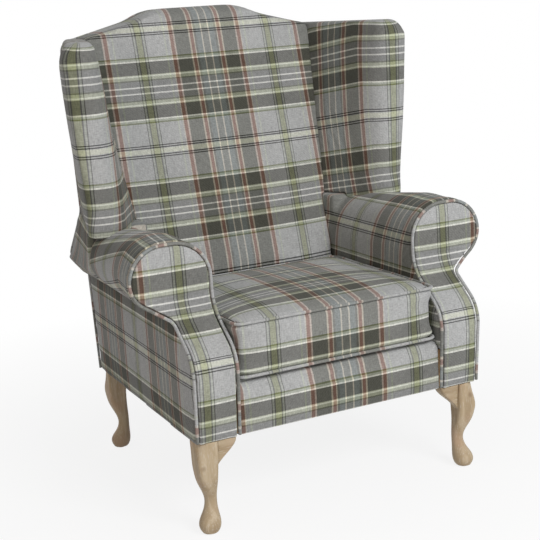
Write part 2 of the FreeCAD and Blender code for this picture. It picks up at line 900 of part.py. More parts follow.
# Leg stations from the knee down: height as a share of the leg, reach of the inner line and of the
# outer line along the corner line, half side of the section, and how round its corners are
leg_stations = [
    (0.730, 28.0, 29.0, 22.3, 0.30),
    (0.610, 28.0, 25.5, 21.3, 0.50),
    (0.470, 28.0, 11.0, 17.3, 0.80),
    (0.345, 28.0, -1.0, 13.3, 0.95),
    (0.255, 28.0, 2.0, 14.4, 0.95),
    (0.155, 28.0, 15.0, 20.6, 0.95),
    (0.078, 27.0, 22.0, 23.2, 0.95),
    (0.024, 22.5, 18.5, 20.0, 0.95),
    (0.000, 18.5, 15.5, 16.5, 0.95),
]


def leg_section(height, inward, outward, half, outer_radius, radius):
    """A square with rounded corners, the one towards +X+Y rounded by itself."""
    middle = (outward - inward) / 2 / math.sqrt(2)
    low, high = middle - half, middle + half
    corners = [V(high, high, height), V(low, high, height), V(low, low, height), V(high, low, height)]
    return Part.Wire(rounded_edges(corners, [outer_radius, radius, radius, radius], True))


def cabriole_leg(name):
    """A leg with its knee rolled in under the cover, a thin ankle and a pad foot."""
    x, y, turn = leg_axes()[name]
    low = glide_thick
    length = base_z - face_gap - low
    half = leg_block / 2
    wires = [leg_section(low + length * share, 0.0, 0.0, half, outer, inner)
             for share, outer, inner in block_stations]
    for share, inward, outward, size, roundness in leg_stations:
        radius = size * roundness
        wires.append(leg_section(low + length * share, inward, outward, size, radius, radius))
    leg = Part.makeLoft(wires, True, False)
    leg.rotate(V(0, 0, 0), V(0, 0, 1), turn)
    leg.translate(V(x, y, 0))
    for bar in at_legs(bolt_radius + bolt_gap, base_z - bolt_depth - bolt_end_gap, base_z):
        leg = leg.cut(bar)
    return leg


def knee_ear():
    """The shaped block glued to the inner side of a front leg, under the front border."""
    x, y, turn = leg_axes()["front_left"]
    face = x - leg_block / 2 - face_gap
    top = base_z - face_gap
    low = top - ear_height
    points = [(face, top), (face - ear_length, top), (face - ear_length, top - ear_end),
              (face - ear_length * 0.30, top - ear_height * 0.58), (face - ear_foot, low), (face, low)]
    radii = [0.0, 0.0, 14.0, 40.0, 0.0, 0.0]
    y0 = y - leg_block / 2 + ear_setback
    return along_y(points, radii, y0, y0 + ear_thick)


def foot_glides():
    """Nail-on glides under the middles of the feet."""
    share, inward, outward, size, roundness = leg_stations[-1]
    shift = (outward - inward) / 2 / math.sqrt(2)
    glides = []
    for x, y, turn in leg_axes().values():
        place = V(x + math.copysign(1.0, x) * shift, y + math.copysign(1.0, y) * shift, 0)
        glides.append(Part.makeCylinder(glide_radius, glide_thick, place))
    return Part.makeCompound(glides)


def dust_cover():
    y0, y1 = front_rail_y, base_rear_y - back_cover_room
    x0, x1 = base_side(y0) - side_cover_room, base_side(y1) - side_cover_room
    plan = [(-x0, y0), (x0, y0), (x1, y1), (-x1, y1)]
    sheet = along_z(plan, zero(plan), base_z + face_gap, base_z + dust_cover_thick)
    for bar in at_legs(bolt_radius + dust_hole_ease, base_z, rail_z):
        sheet = sheet.cut(bar)
    return sheet


def spring_places():
    first = -(spring_count - 1) / 2 * spring_pitch
    return [first + i * spring_pitch for i in range(spring_count)]


def seat_springs():
    """Zigzag springs from the front rail to the back seat rail, one unbroken wire each."""
    y0 = front_rail_y + rail_thick / 2
    y1 = post_y + rail_thick / 2
    z = rail_top + face_gap + spring_wire / 2
    waves = int((y1 - y0 - spring_wave) // spring_wave)
    step = (y1 - y0) / (waves + 1)
    springs = []
    for x in spring_places():
        points = [V(x - spring_half_width, y0, z)]
        for i in range(waves + 2):
            y = y0 + i * step
            side = 1 if i % 2 == 0 else -1
            points.append(V(x + side * spring_half_width, y, z))
            if i < waves + 1:
                points.append(V(x + side * spring_half_width, y + step, z))
        radii = [step * spring_bend] * len(points)
        springs.append(tube(points, radii, spring_wire / 2))
    return Part.makeCompound(springs)


def spring_clips():
    """A folded steel clip over each end of each spring."""
    x1, y1 = clip_width / 2, clip_length / 2
    y2 = y1 - clip_steel
    clips = []
    for x in spring_places():
        for y in (front_rail_y + rail_thick / 2, post_y + rail_thick / 2):
            clip = box(x - x1, x + x1, y - y1, y + y1, rail_top, clip_top)
            clips.append(clip.cut(box(x - x1, x + x1, y - y2, y + y2, rail_top, clip_top - clip_steel)))
    return Part.makeCompound(clips)


def back_webbing():
    """Elastic straps across the fronts of the posts."""
    low = cavity_top + strap_low_gap
    high = rail_low_z - strap_high_gap
    half = post_outer - strap_inset
    straps = []
    for i in range(strap_count):
        z0 = low + (high - low - strap_width) * i / (strap_count - 1)
        z1 = z0 + strap_width
        y0, y1 = post_front(z0) - strap_gap, post_front(z1) - strap_gap
        side = [(y0 - strap_thick, z0), (y0, z0), (y1, z1), (y1 - strap_thick, z1)]
        straps.append(along_x(side, zero(side), -half, half))
    return Part.makeCompound(straps)


# The crown's stations: share of its height, and how far in from the cushion's outline
crown_stations = [(0.50, 32.0), (0.78, 70.0), (0.94, 120.0), (1.00, 180.0)]


def cushion_levels(extra):
    """Heights of the cushion's sections, and how far each lies inside the cushion's outline.

    From below: a notch for the lower cord, the boxing drawn in at mid height, a notch for the
    upper cord, then the crowned top.
    """
    low, high = cushion_z, cushion_edge + crown_foot
    notch = 2 * piping_radius + cord_ease
    notch_low = high - notch - cord_ease
    levels = [
        (low + extra, notch + extra),
        (low + notch, notch + extra),
        (low + notch + cord_ease + extra, extra),
        (low + boxing_turn, cushion_draw + extra),
        (cushion_edge - boxing_turn, cushion_draw + extra),
        (notch_low - crown_foot - extra, extra),
        (notch_low, notch + extra),
        (high - extra, notch + extra),
    ]
    for share, inset in crown_stations:
        levels.append((cushion_edge + cushion_crown * share - extra, inset + extra))
    return levels


def cushion_plan():
    half = seat_half - seat_clearance
    return half, front_y + cushion_front_setback, seat_back_y - cushion_rear_gap


def cushion_form(extra):
    """The cushion's shape, taken in by extra all over."""
    half, y0, y1 = cushion_plan()
    sections = []
    for z, inset in cushion_levels(extra):
        radius = max(cushion_corner - inset / 10, cushion_least_corner)
        points = [(-half + inset, y0 + inset), (half - inset, y0 + inset),
                  (half - inset, y1 - inset), (-half + inset, y1 - inset)]
        sections.append(face_xy(points, [radius] * 4, z))
    return ruled(sections)


def seat_cushion_cover():
    return cushion_form(0.0).cut(cushion_form(cover_thick))


def cushion_cord(z):
    half, y0, y1 = cushion_plan()
    inset = piping_radius + cord_inset
    points = [V(-half + inset, y0 + inset, z), V(half - inset, y0 + inset, z),
              V(half - inset, y1 - inset, z), V(-half + inset, y1 - inset, z)]
    return tube(points, [cushion_corner - inset] * 4, piping_radius, True)


def cushion_piping():
    upper = cushion_edge + crown_foot - piping_radius - cord_ease
    return Part.makeCompound([cushion_cord(cushion_z + piping_radius + cord_lift), cushion_cord(upper)])


def zip_place():
    """Rear face of the cushion's boxing, and the height of the zip's middle."""
    half, y0, y1 = cushion_plan()
    return y1 - cushion_draw, cushion_z + cushion_thick / 2


def cushion_zip():
    """Zip tape on the rear boxing with its raised chain of teeth."""
    y, z = zip_place()
    half, front = zip_length / 2, y + tape_thick
    tape = box(-half, half, y, front, z - zip_band / 2, z + zip_band / 2)
    chain = box(-half, half, front, front + chain_thick, z - chain_half, z + chain_half)
    return tape.fuse(chain).removeSplitter()


def pull_axis():
    """The bar that the pull turns on, under the slider's bridge."""
    y, z = zip_place()
    top = y + tape_thick + zip_gap + slider_thick
    return zip_length / 2 - zip_end - slider_length / 2, top + pull_bar_radius + zip_gap, z


def zip_slider():
    """Slider that straddles the chain, with the bridge that holds its pull."""
    x, bar_y, z = pull_axis()
    y0 = zip_place()[0] + tape_thick + zip_gap
    y1 = y0 + slider_thick
    half = slider_length / 2
    body = box(x - half, x + half, y0, y1, z - slider_half, z + slider_half)
    room = chain_half + zip_gap
    channel = box(x - far, x + far, y0 - zip_gap, y0 + chain_thick + zip_gap, z - room, z + room)
    under = bar_y + pull_bar_radius + zip_gap
    reach = bridge_foot + bridge_foot_half
    bridge = box(x - reach, x + reach, y1, under + bridge_thick, z - bridge_half, z + bridge_half)
    gap = bridge_foot - bridge_foot_half
    bridge = bridge.cut(box(x - gap, x + gap, y1, under, z - far, z + far))
    return body.cut(channel).fuse(bridge).removeSplitter()


def zip_pull():
    """Flat pull that lies along the zip, its end bar under the bridge."""
    x, y, z = pull_axis()
    bar = Part.makeCylinder(pull_bar_radius, 2 * pull_half, V(x, y, z - pull_half), V(0, 0, 1))
    y0, y1 = y - pull_thick / 2, y + pull_thick / 2
    plate = box(x - pull_length, x, y0, y1, z - pull_half, z + pull_half)
    room = bridge_half + 2 * zip_gap
    window = box(x - bridge_foot - pull_window, x - pull_bar_radius, y0, y1, z - room, z + room)
    return plate.fuse(bar).cut(window).removeSplitter()


def seat_nodes():
    return {
        "seat_cushion_cover": seat_cushion_cover(),
        "seat_cushion_core": cushion_form(cover_thick + face_gap),
        "cushion_piping": cushion_piping(),
        "cushion_zip_tape": cushion_zip(),
        "zip_slider": zip_slider(),
        "zip_pull": zip_pull(),
    }


def frame_nodes():
    nodes = {
        "front_seat_rail": front_rail(),
        "back_seat_rail": back_seat_rail(),
        "rear_bottom_rail": rear_bottom_rail(),
        "back_tacking_rail": back_tacking_rail(),
        "back_top_rail": back_top_rail(),
        "corner_blocks": corner_blocks(),
        "seat_springs": seat_springs(),
        "spring_clips": spring_clips(),
        "back_webbing": back_webbing(),
        "seat_platform": seat_platform(),
        "dust_cover": dust_cover(),
        "inside_back_pad": back_pad(),
        "outside_back_panel": outside_back_panel(),
        "back_piping": back_piping(),
        "front_border": front_border(),
        "leg_bolts": leg_bolts(),
        "leg_inserts": leg_inserts(),
        "foot_glides": foot_glides(),
    }
    sided = {
        "side_seat_rail": side_rail(),
        "front_corner_post": front_corner_post(),
        "leg_ear": knee_ear(),
        "rear_post": rear_post(),
        "arm_front_board": arm_front_board(),
        "arm_front_block": arm_front_block(),
        "arm_lower_rail": arm_lower_rail(),
        "arm_top_board": arm_top_board(),
        "wing_upright": wing_upright(),
        "wing_top_rail": wing_top_rail(),
        "arm_pad": arm_pad(),
        "wing_pad": wing_pad(),
        "arm_facing": arm_facing(),
        "facing_piping": facing_piping(),
        "side_panel": side_panel(),
    }
    for name, shape in sided.items():
        nodes[name + "_left"] = shape
        nodes[name + "_right"] = mirrored(shape)
    for name in leg_axes():
        nodes["leg_" + name] = cabriole_leg(name)
    return nodes


def main():
    os.makedirs("parts", exist_ok=True)
    nodes = frame_nodes()
    nodes.update(seat_nodes())
    for name, shape in nodes.items():
        solids = shape.Solids
        whole = solids[0] if len(solids) == 1 else Part.makeCompound(solids)
        whole.exportStep("parts/" + name + ".step")
        print(name, len(solids), "solids", round(whole.Volume / 1000.0, 1), "cm3", whole.isValid())


main()
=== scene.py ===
"""Fireside wing chair: pale limed legs, grey, green and rust tartan over padded back, wings and
rolled arms, and a loose box cushion with piped edges."""

import math
import bmesh
import bpy
import numpy as np
from mathutils import Matrix


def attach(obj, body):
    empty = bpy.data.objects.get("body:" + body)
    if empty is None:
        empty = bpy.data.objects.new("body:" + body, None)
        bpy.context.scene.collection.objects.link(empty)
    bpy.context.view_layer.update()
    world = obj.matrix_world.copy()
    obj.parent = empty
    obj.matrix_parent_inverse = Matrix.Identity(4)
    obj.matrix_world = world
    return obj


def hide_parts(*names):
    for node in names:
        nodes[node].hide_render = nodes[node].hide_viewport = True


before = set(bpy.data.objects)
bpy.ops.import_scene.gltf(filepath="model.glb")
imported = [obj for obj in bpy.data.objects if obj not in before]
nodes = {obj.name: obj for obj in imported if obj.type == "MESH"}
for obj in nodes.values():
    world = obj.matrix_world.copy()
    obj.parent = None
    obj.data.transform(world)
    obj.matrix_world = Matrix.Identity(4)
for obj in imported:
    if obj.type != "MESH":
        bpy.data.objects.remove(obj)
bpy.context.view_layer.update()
scene = bpy.context.scene
MM = 0.001

# ---------------------------------------------------------------- sizes of the covered forms, mm
SEAT_HALF = 250.0
BASE_HALF = 352.0
BASE_Z = 207.0
SCROLL_Y = -271.0
SCROLL_OUT = 436.0
ARM_TOP = 618.0
NECK_Z = 452.0
WING_FRONT_Y = 4.0
WING_Z = 596.0
WING_TOP = 1022.0
PIPING_RADIUS = 3.6
CUSHION_CORD_RADIUS = 3.5
BACK_CORD_RADIUS = 3.0
CUSHION_HALF = 244.0
CUSHION_FRONT = -360.5
CUSHION_REAR = 78.0
CORD_LOW, CORD_HIGH = 330.3, 445.0   # heights of the cushion's two cords

# The arm's front line seen from the side, top to bottom, and its corner radii.
SWAN = [(SCROLL_Y, 678.0), (SCROLL_Y, 470.0), (-380.8, 385.0), (-367.0, BASE_Z)]
SWAN_RADII = [0.0, 82.0, 76.0, 0.0]

BATCH = 20000           # points measured at a time, to save memory
SWELL_FRAMES = 20       # steps of the cloth simulation
SWELL_PRESSURE = 4.0
SEAM_SHARE = 0.02       # a point freer than this leaves its seam


# ---------------------------------------------------------------- outlines
def rounded(points, radii, closed=False, turn_points=12):
    """Straight runs through the points, with each corner cut by an arc that touches both runs."""
    points = np.array(points, float)
    count = len(points)
    line = []
    for i, radius in enumerate(radii):
        corner = points[i]
        if radius <= 0 or (not closed and i in (0, count - 1)):
            line.append(corner[None])
            continue
        back = points[i - 1] - corner
        ahead = points[(i + 1) % count] - corner
        back /= np.linalg.norm(back)
        ahead /= np.linalg.norm(ahead)
        half = math.acos(np.clip(back @ ahead, -1, 1)) / 2
        middle = back + ahead
        centre = corner + middle / np.linalg.norm(middle) * radius / math.sin(half)
        reach = radius / math.tan(half)
        spokes = np.array([corner + back * reach, corner + ahead * reach]) - centre
        share = np.linspace(0, 1, turn_points)[:, None]
        sweep = math.pi - 2 * half
        arc = (np.sin((1 - share) * sweep) * spokes[0] + np.sin(share * sweep) * spokes[1]) / math.sin(sweep)
        line.append(centre + arc)
    return np.concatenate(line)


def lengths(line):
    """Length run along a line of points up to each of them."""
    return np.concatenate([[0.0], np.cumsum(np.linalg.norm(np.diff(line, axis=0), axis=1))])


def evenly(line, step, closed=False):
    """The line with points a fixed step apart, each found by its share of the whole length."""
    if closed:
        line = np.concatenate([line, line[:1]])
    run = lengths(line)
    count = max(int(round(run[-1] / step)), 8)
    at = np.linspace(0, run[-1], count + 1)
    if closed:
        at = at[:-1]
    return np.stack([np.interp(at, run, line[:, k]) for k in range(line.shape[1])], -1)


def along(stations, outlines, place, points):
    """How far along an outline each point lies, and how far from it.

    The outline changes between stations: at each point's place it is the weighted mean of the
    two nearest ones, and the point's foot is on the nearest of its straight pieces.
    """
    stations = np.array(stations, float)
    outlines = np.array(outlines)
    runs = np.array([lengths(one) for one in outlines])
    arc, gap = np.empty(len(points)), np.empty(len(points))
    for start in range(0, len(points), BATCH):
        part = slice(start, start + BATCH)
        where = np.clip(np.interp(place[part], stations, np.arange(len(stations))), 0, len(stations) - 1)
        low = np.minimum(where.astype(int), len(stations) - 2)
        share = (where - low)[:, None]
        line = outlines[low] * (1 - share[..., None]) + outlines[low + 1] * share[..., None]
        run = runs[low] * (1 - share) + runs[low + 1] * share
        a, b = line[:, :-1], line[:, 1:]
        step = b - a
        t = ((points[part, None] - a) * step).sum(-1) / np.maximum((step**2).sum(-1), 1e-9)
        t = np.clip(t, 0, 1)
        away = np.linalg.norm(a + step * t[..., None] - points[part, None], axis=-1)
        best = away.argmin(1)
        rows = np.arange(len(best))
        arc[part] = run[rows, best] + t[rows, best] * (run[rows, best + 1] - run[rows, best])
        gap[part] = away[rows, best]
    return arc, gap


def ease(value):
    """0 below 0, 1 above 1, and 3v2 - 2v3 between."""
    v = np.clip(value, 0.0, 1.0)
    return v * v * (3 - 2 * v)


def scroll_line(top, outer):
    """The arm's section from its inner foot over the roll and down to its outer foot."""
    share = (top - NECK_Z) / (ARM_TOP - NECK_Z)
    points = [(SEAT_HALF, BASE_Z), (SEAT_HALF - 4, top), (outer, top),
              (outer, NECK_Z + 53 * share), (BASE_HALF + 3, NECK_Z), (BASE_HALF, BASE_Z)]
    return rounded(points, [0, 85 * share, 80 * share, 55 * share, 15, 0], True)


ARM_STATIONS = [SCROLL_Y, -180.0, 90.0]
ARM_LINES = [scroll_line(ARM_TOP, SCROLL_OUT), scroll_line(626.0, 427.4), scroll_line(WING_Z, 402.0)]
FACING_LINE = ARM_LINES[0]


def inside_back(z):
    """y of the inside back's face at height z: upright to 475 mm, then leaning evenly."""
    return 84.0 + 185.5 * np.maximum(z - 475.0, 0.0) / 605.0


def outside_back(z):
    """y of the outside back at height z: one even lean from the foot of the base to the top."""
    return 286.0 + 92.5 * (z - BASE_Z) / 873.0


def crease(z):
    """x of the crease between the inside back and a wing at height z, on one straight line."""
    return 256.0 + 44.0 * (z - WING_Z) / (WING_TOP - WING_Z)


def wing_line(z):
    """Plan of a wing at height z, from the crease forward, round its front and to the rear."""
    share = min((z - WING_Z) / (WING_TOP - 37 - WING_Z), 1.0)
    outer = 420 + 25 * share
    inner = outer - 82 - 4 * share
    points = [(crease(z), inside_back(z) + 20), (inner, WING_FRONT_Y), (outer, WING_FRONT_Y),
              (334.0, outside_back(z) - 6), (crease(z), outside_back(z) - 6)]
    return rounded(points, [0, 38, 38, 0, 0])


WING_STATIONS = [WING_Z, 700.0, 800.0, 900.0, 985.0, WING_TOP]
WING_LINES = [wing_line(z) for z in WING_STATIONS]
swan_line = rounded(SWAN, SWAN_RADII)[::-1]


def swan_front(z, depth=0.0):
    """y of the arm's front line at height z, moved back by depth."""
    return np.interp(z, swan_line[:, 1], swan_line[:, 0]) + depth


# ---------------------------------------------------------------- how the cloth lies
# Each function gives the place in the cloth's own pattern, in mm: first across, from the middle
# of the grey lines, then along, from the middle of a cream line. p holds the face corners, corner
# the face of each, and centres and normals belong to the faces.
def cloth_on_back(p, centres, normals, corner):
    """Across is x, drifting with height; along is the climb up the leaning face and over its top."""
    x, y, z = p.T
    behind = y - inside_back(z) - 22
    across = x + 4.5 - 0.02 * (z - 660)
    climb = 1.0446 * (np.maximum(z, 520) - 748.5) + 0.7 * np.minimum(z - 520, 0)
    return across, climb + np.maximum(behind, 0)


def cloth_on_wing(p, centres, normals, corner):
    """Across is the run round the wing's plan, spread with height; along is the height."""
    x, y, z = p.T
    arc, gap = along(WING_STATIONS, WING_LINES, z, np.stack([np.abs(x), y], -1))
    middle = np.interp(z, [650, 800, 1000], [53, 59, 88]) + np.where(x < 0, 30.0, 0.0)
    spread = np.interp(z, [650, 800, 1000], [1.105, 0.943, 0.859])
    lift = np.where(x < 0, 784.0, 767 + 0.15 * np.clip(arc, 0, 170))
    climb = (z - lift) / 1.04
    return (arc - middle) * spread, climb + np.where(z > 990, gap, 0.0)


def cloth_on_arm(p, centres, normals, corner):
    """Across is the depth, leaning on the inner side; along is the run over the roll."""
    x, y, z = p.T
    arc, gap = along(ARM_STATIONS, ARM_LINES, y, np.stack([np.abs(x), z], -1))
    lean = np.where(x > 0, 207 - 0.21 * (400 - arc) * (arc < 400), 226.0)
    return y + lean, arc - 331


def cloth_on_facing(p, centres, normals, corner):
    """Across is x; along is read off against the height at which each band of the facing lies."""
    x, y, z = p.T
    across = 173.5 + np.abs(x) - np.where(x < 0, 324.4, 331.0)
    marks = [160, 226, 255, 293, 376.5, 431, 459, 477, 493, 518, 558, 640]
    cloth = [-205, -141, -113.7, -77.5, 0, 77.5, 113.7, 141, 157, 184.3, 220.5, 296]
    return across, np.interp(z, marks, cloth)


def cloth_on_side(p, centres, normals, corner):
    """Across is the depth; along is the height, which counts twice above the panel's top edge."""
    x, y, z = p.T
    return y + 203, (z - 343) / 1.02 + np.maximum(z - 448, 0)


def cloth_on_border(p, centres, normals, corner):
    """Across is x; along runs down the front, and back over the top and bottom edges."""
    x, y, z = p.T
    return x - 14.5, 77.5 + (274 - z) / 1.02 - np.maximum(y + 354, 0)


def cloth_on_rear(p, centres, normals, corner):
    """Across is x; along is the height."""
    x, y, z = p.T
    return x + 2, 1.005 * (z - 748.5)


CUSHION_CORNER = 34.0
cushion_plan = rounded([(0, CUSHION_FRONT), (CUSHION_HALF, CUSHION_FRONT), (CUSHION_HALF, CUSHION_REAR),
                        (0, CUSHION_REAR)], [0, CUSHION_CORNER, CUSHION_CORNER, 0])


def round_cushion(points):
    """How far round the cushion's plan each point (x without its sign, y) lies, from mid front."""
    return along([0, 1], [cushion_plan, cushion_plan], np.zeros(len(points)), points)[0]


def cloth_on_cushion(p, centres, normals, corner):
    """On the boxing across is the run round the plan, along the height; on top it is x and y."""
    x, y, z = p.T
    arc = round_cushion(np.stack([np.abs(x), y], -1))
    boxing = np.stack([np.sign(x) * arc - 12, 77.5 + (380 - z) / 1.02])
    panel = np.stack([x - 13, 77.5 + (y + 310) / 1.016])
    flat = (centres[:, 2] > 446.5) | (centres[:, 2] < 329) | (np.abs(normals[:, 2]) > 0.8)
    return np.where(flat[corner], panel, boxing)


# ---------------------------------------------------------------- meshes
def keep(name, mesh, body, material, node_names):
    """One finished object for a mesh that already lies in its place."""
    made = bpy.data.objects.new(name, mesh)
    scene.collection.objects.link(made)
    made.data.materials.clear()
    made.data.materials.append(material)
    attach(made, body)
    if node_names:
        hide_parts(*node_names)
    return made


def shade_smooth(mesh):
    """Every face is shaded smoothly."""
    mesh.polygons.foreach_set("use_smooth", np.ones(len(mesh.polygons), bool))


def surface(name, grid, around=False, round_again=False, uv=None, caps=False):
    """A mesh from a grid of points in mm: each face joins four neighbours.

    around closes the grid's second direction, round_again its first. uv holds the cloth's place
    for one more row and column than the closed directions have.
    """
    n, m = grid.shape[:2]
    rows = np.arange(n if round_again else n - 1)
    columns = np.arange(m if around else m - 1)
    i, j = (a.ravel() for a in np.meshgrid(rows, columns, indexing="ij"))
    i2, j2 = (i + 1) % n, (j + 1) % m
    faces = np.stack([i * m + j, i * m + j2, i2 * m + j2, i2 * m + j], -1).tolist()
    if caps:
        faces += [list(range(m))[::-1], list(range((n - 1) * m, n * m))]
    mesh = bpy.data.meshes.new(name)
    mesh.from_pydata((grid.reshape(-1, 3) * MM).tolist(), [], faces)
    if uv is not None:
        corners = np.stack([uv[i, j], uv[i, j + 1], uv[i + 1, j + 1], uv[i + 1, j]], 1).reshape(-1, 2)
        spare = len(mesh.loops) - len(corners)
        corners = np.concatenate([corners, np.repeat(corners[:1], spare, 0)]) * MM
        mesh.uv_layers.new(name="cloth").data.foreach_set("uv", corners.astype(np.float32).ravel())
    outward(mesh)
    shade_smooth(mesh)
    return mesh


def outward(mesh):
    """Turns every face of a closed mesh outwards."""
    work = bmesh.new()
    work.from_mesh(mesh)
    bmesh.ops.recalc_face_normals(work, faces=work.faces)
    work.to_mesh(mesh)
    work.free()


def cord(name, path, radius, closed, up, across=None):
    """A covered cord: a circle carried along the path, with the cloth wrapped round it.

    Round the path, point = path + radius (cos a * side + sin a * rise), where side is square to
    the path and to the direction up, and rise is square to both. Its strip is cut along a grey
    band of the weft, so only the warp's softer stripes cross the cord, 0.6 mm of them for each mm
    of its run; or, where across is given, with the warp's stripes at those places.
    """
    if closed:
        ahead = np.roll(path, -1, 0) - np.roll(path, 1, 0)
    else:
        ahead = np.gradient(path, axis=0)
    ahead /= np.linalg.norm(ahead, axis=1)[:, None]
    side = np.cross(ahead, np.array(up, float))
    side /= np.linalg.norm(side, axis=1)[:, None]
    rise = np.cross(side, ahead)
    angles = np.linspace(0, 2 * math.pi, 12, endpoint=False)
    across_ring, up_ring = np.cos(angles)[None, :, None], np.sin(angles)[None, :, None]
    ring = across_ring * side[:, None] + up_ring * rise[:, None]
    grid = path[:, None] + radius * ring
    whole = np.concatenate([path, path[:1]]) if closed else path
    run = lengths(whole)
    turn = np.linspace(0, 2 * math.pi * radius, 13)
    if across is None:
        u, v = 0.6 * run[:, None] + 0 * turn, 30 + turn + 0 * run[:, None]
    else:
        u = np.append(across, across[:1])[:len(whole), None] + 0 * turn
        v = 22 + turn + 0 * run[:, None]
    return surface(name, grid, around=True, round_again=closed, uv=np.stack([u, v], -1), caps=not closed)


def joined(name, meshes):
    """Several meshes as one."""
    work = bmesh.new()
    for mesh in meshes:
        work.from_mesh(mesh)
    mesh = bpy.data.meshes.new(name)
    work.to_mesh(mesh)
    work.free()
    return mesh


def merged_copy(name, node):
    """A node's mesh with its loose triangles joined at their shared corners."""
    work = bmesh.new()
    work.from_mesh(nodes[node].data)
    bmesh.ops.remove_doubles(work, verts=work.verts, dist=1e-5)
    mesh = bpy.data.meshes.new(name)
    work.to_mesh(mesh)
    work.free()
    mesh.materials.clear()
    return mesh


def positions(mesh):
    """The mesh's points, one row each, in metres."""
    found = np.empty(len(mesh.vertices) * 3, np.float32)
    mesh.vertices.foreach_get("co", found)
    return found.reshape(-1, 3).astype(float)


def vertex_normals(mesh):
    """The direction straight out of the mesh at each of its points."""
    found = np.empty(len(mesh.vertices) * 3, np.float32)
    mesh.vertices.foreach_get("normal", found)
    return found.reshape(-1, 3).astype(float)


def evaluated_mesh(made):
    """The object's mesh as its modifiers leave it."""
    bpy.context.view_layer.update()
    graph = bpy.context.evaluated_depsgraph_get()
    return bpy.data.meshes.new_from_object(made.evaluated_get(graph), depsgraph=graph)


def lay_cloth(mesh, rule):
    """Writes the cloth's place at every face corner, from where the corner lies on the chair."""
    p = positions(mesh) / MM
    faces = len(mesh.polygons)
    centres, normals = np.empty(faces * 3, np.float32), np.empty(faces * 3, np.float32)
    mesh.polygons.foreach_get("center", centres)
    mesh.polygons.foreach_get("normal", normals)
    corner_vertex = np.empty(len(mesh.loops), np.int32)
    mesh.loops.foreach_get("vertex_index", corner_vertex)
    totals = np.empty(faces, np.int32)
    mesh.polygons.foreach_get("loop_total", totals)
    corner_face = np.repeat(np.arange(faces), totals)
    across, along_cloth = rule(p[corner_vertex], centres.reshape(-1, 3) / MM,
                               normals.reshape(-1, 3), corner_face)
    uv = np.stack([across, along_cloth], -1) * MM
    mesh.uv_layers.new(name="cloth").data.foreach_set("uv", uv.astype(np.float32).ravel())


# ---------------------------------------------------------------- padded pieces
waiting = []


def start_pad(name, node, voxel, cap, freedom, shrink, shape=None):
    """A pad before its stuffing swells it.

    The node's form is remeshed in cubes of voxel mm and eased. freedom gives for each point how
    far it may move, as a share of cap: 0 holds it in its seam. Free points start shrink * cap
    inside the form, and the cloth simulation then blows them out again. shape, where there is
    one, first moves the points to where the stuffing holds them.
    """
    rough = bpy.data.objects.new(name + "_form", merged_copy(name, node))
    scene.collection.objects.link(rough)
    remesh = rough.modifiers.new("remesh", "REMESH")
    remesh.mode = "VOXEL"
    remesh.voxel_size = voxel * MM
    relax = rough.modifiers.new("relax", "SMOOTH")
    relax.factor = 0.5
    relax.iterations = 4
    mesh = evaluated_mesh(rough)
    bpy.data.objects.remove(rough)
    mesh.name = name
    if shape:
        moved = shape(positions(mesh) / MM) * MM
        mesh.vertices.foreach_set("co", moved.astype(np.float32).ravel())
        mesh.update()
    p, n = positions(mesh), vertex_normals(mesh)
    free = np.clip(freedom(p / MM, n), 0, 1)
    p = p - n * (free * shrink * cap * MM)[:, None]
    mesh.vertices.foreach_set("co", p.astype(np.float32).ravel())
    pad = bpy.data.objects.new(name + "_swell", mesh)
    scene.collection.objects.link(pad)
    held = pad.vertex_groups.new(name="seam")
    held.add(np.flatnonzero(free < SEAM_SHARE).tolist(), 1.0, "REPLACE")
    swell = pad.modifiers.new("swell", "CLOTH")
    swell.settings.quality = 3
    swell.settings.use_pressure = True
    swell.settings.uniform_pressure_force = SWELL_PRESSURE
    swell.settings.vertex_group_mass = "seam"
    swell.settings.effector_weights.gravity = 0
    swell.point_cache.frame_start = 1
    swell.point_cache.frame_end = SWELL_FRAMES
    waiting.append((name, pad, p, free, cap))


def swell_pads():
    """Runs the cloth of all pads together and returns each one's mesh with its points moved.

    A point's move is held to cap mm times its freedom, along the way the cloth took it.
    """
    for number in range(1, SWELL_FRAMES + 1):
        scene.frame_set(number)
    finished = {}
    for name, pad, start, free, cap in waiting:
        move = positions(evaluated_mesh(pad)) - start
        pad.modifiers.clear()
        far = np.linalg.norm(move, axis=1)
        limit = cap * MM * free
        move *= np.minimum(1.0, limit / np.maximum(far, 1e-9))[:, None]
        mesh = pad.data
        mesh.vertices.foreach_set("co", (start + move).astype(np.float32).ravel())
        mesh.update()
        bpy.data.objects.remove(pad)
        finished[name] = mesh
    scene.frame_set(1)
    return finished


def other_side(name, mesh):
    """The same pad for the chair's other side: x changes sign and the faces are turned back."""
    copy = mesh.copy()
    copy.name = name
    copy.transform(Matrix.Diagonal((-1, 1, 1, 1)))
    copy.flip_normals()
    return copy


def pad_piece(name, mesh, rule, replaced, body="chair", flat=False):
    """The finished pad in tartan: cloth laid on, one subdivision unless it is a flat panel."""
    lay_cloth(mesh, rule)
    shade_smooth(mesh)
    made = keep(name, mesh, body, TARTAN, [replaced])
    if not flat:
        softer = made.modifiers.new("soften", "SUBSURF")
        softer.levels = softer.render_levels = 1


# ---------------------------------------------------------------- materials
def linear(hex_colour):
    """An sRGB hex colour as linear light."""
    parts = [int(hex_colour[k:k + 2], 16) / 255 for k in (1, 3, 5)]
    return tuple(c / 12.92 if c <= 0.04045 else ((c + 0.055) / 1.055) ** 2.4 for c in parts) + (1.0,)


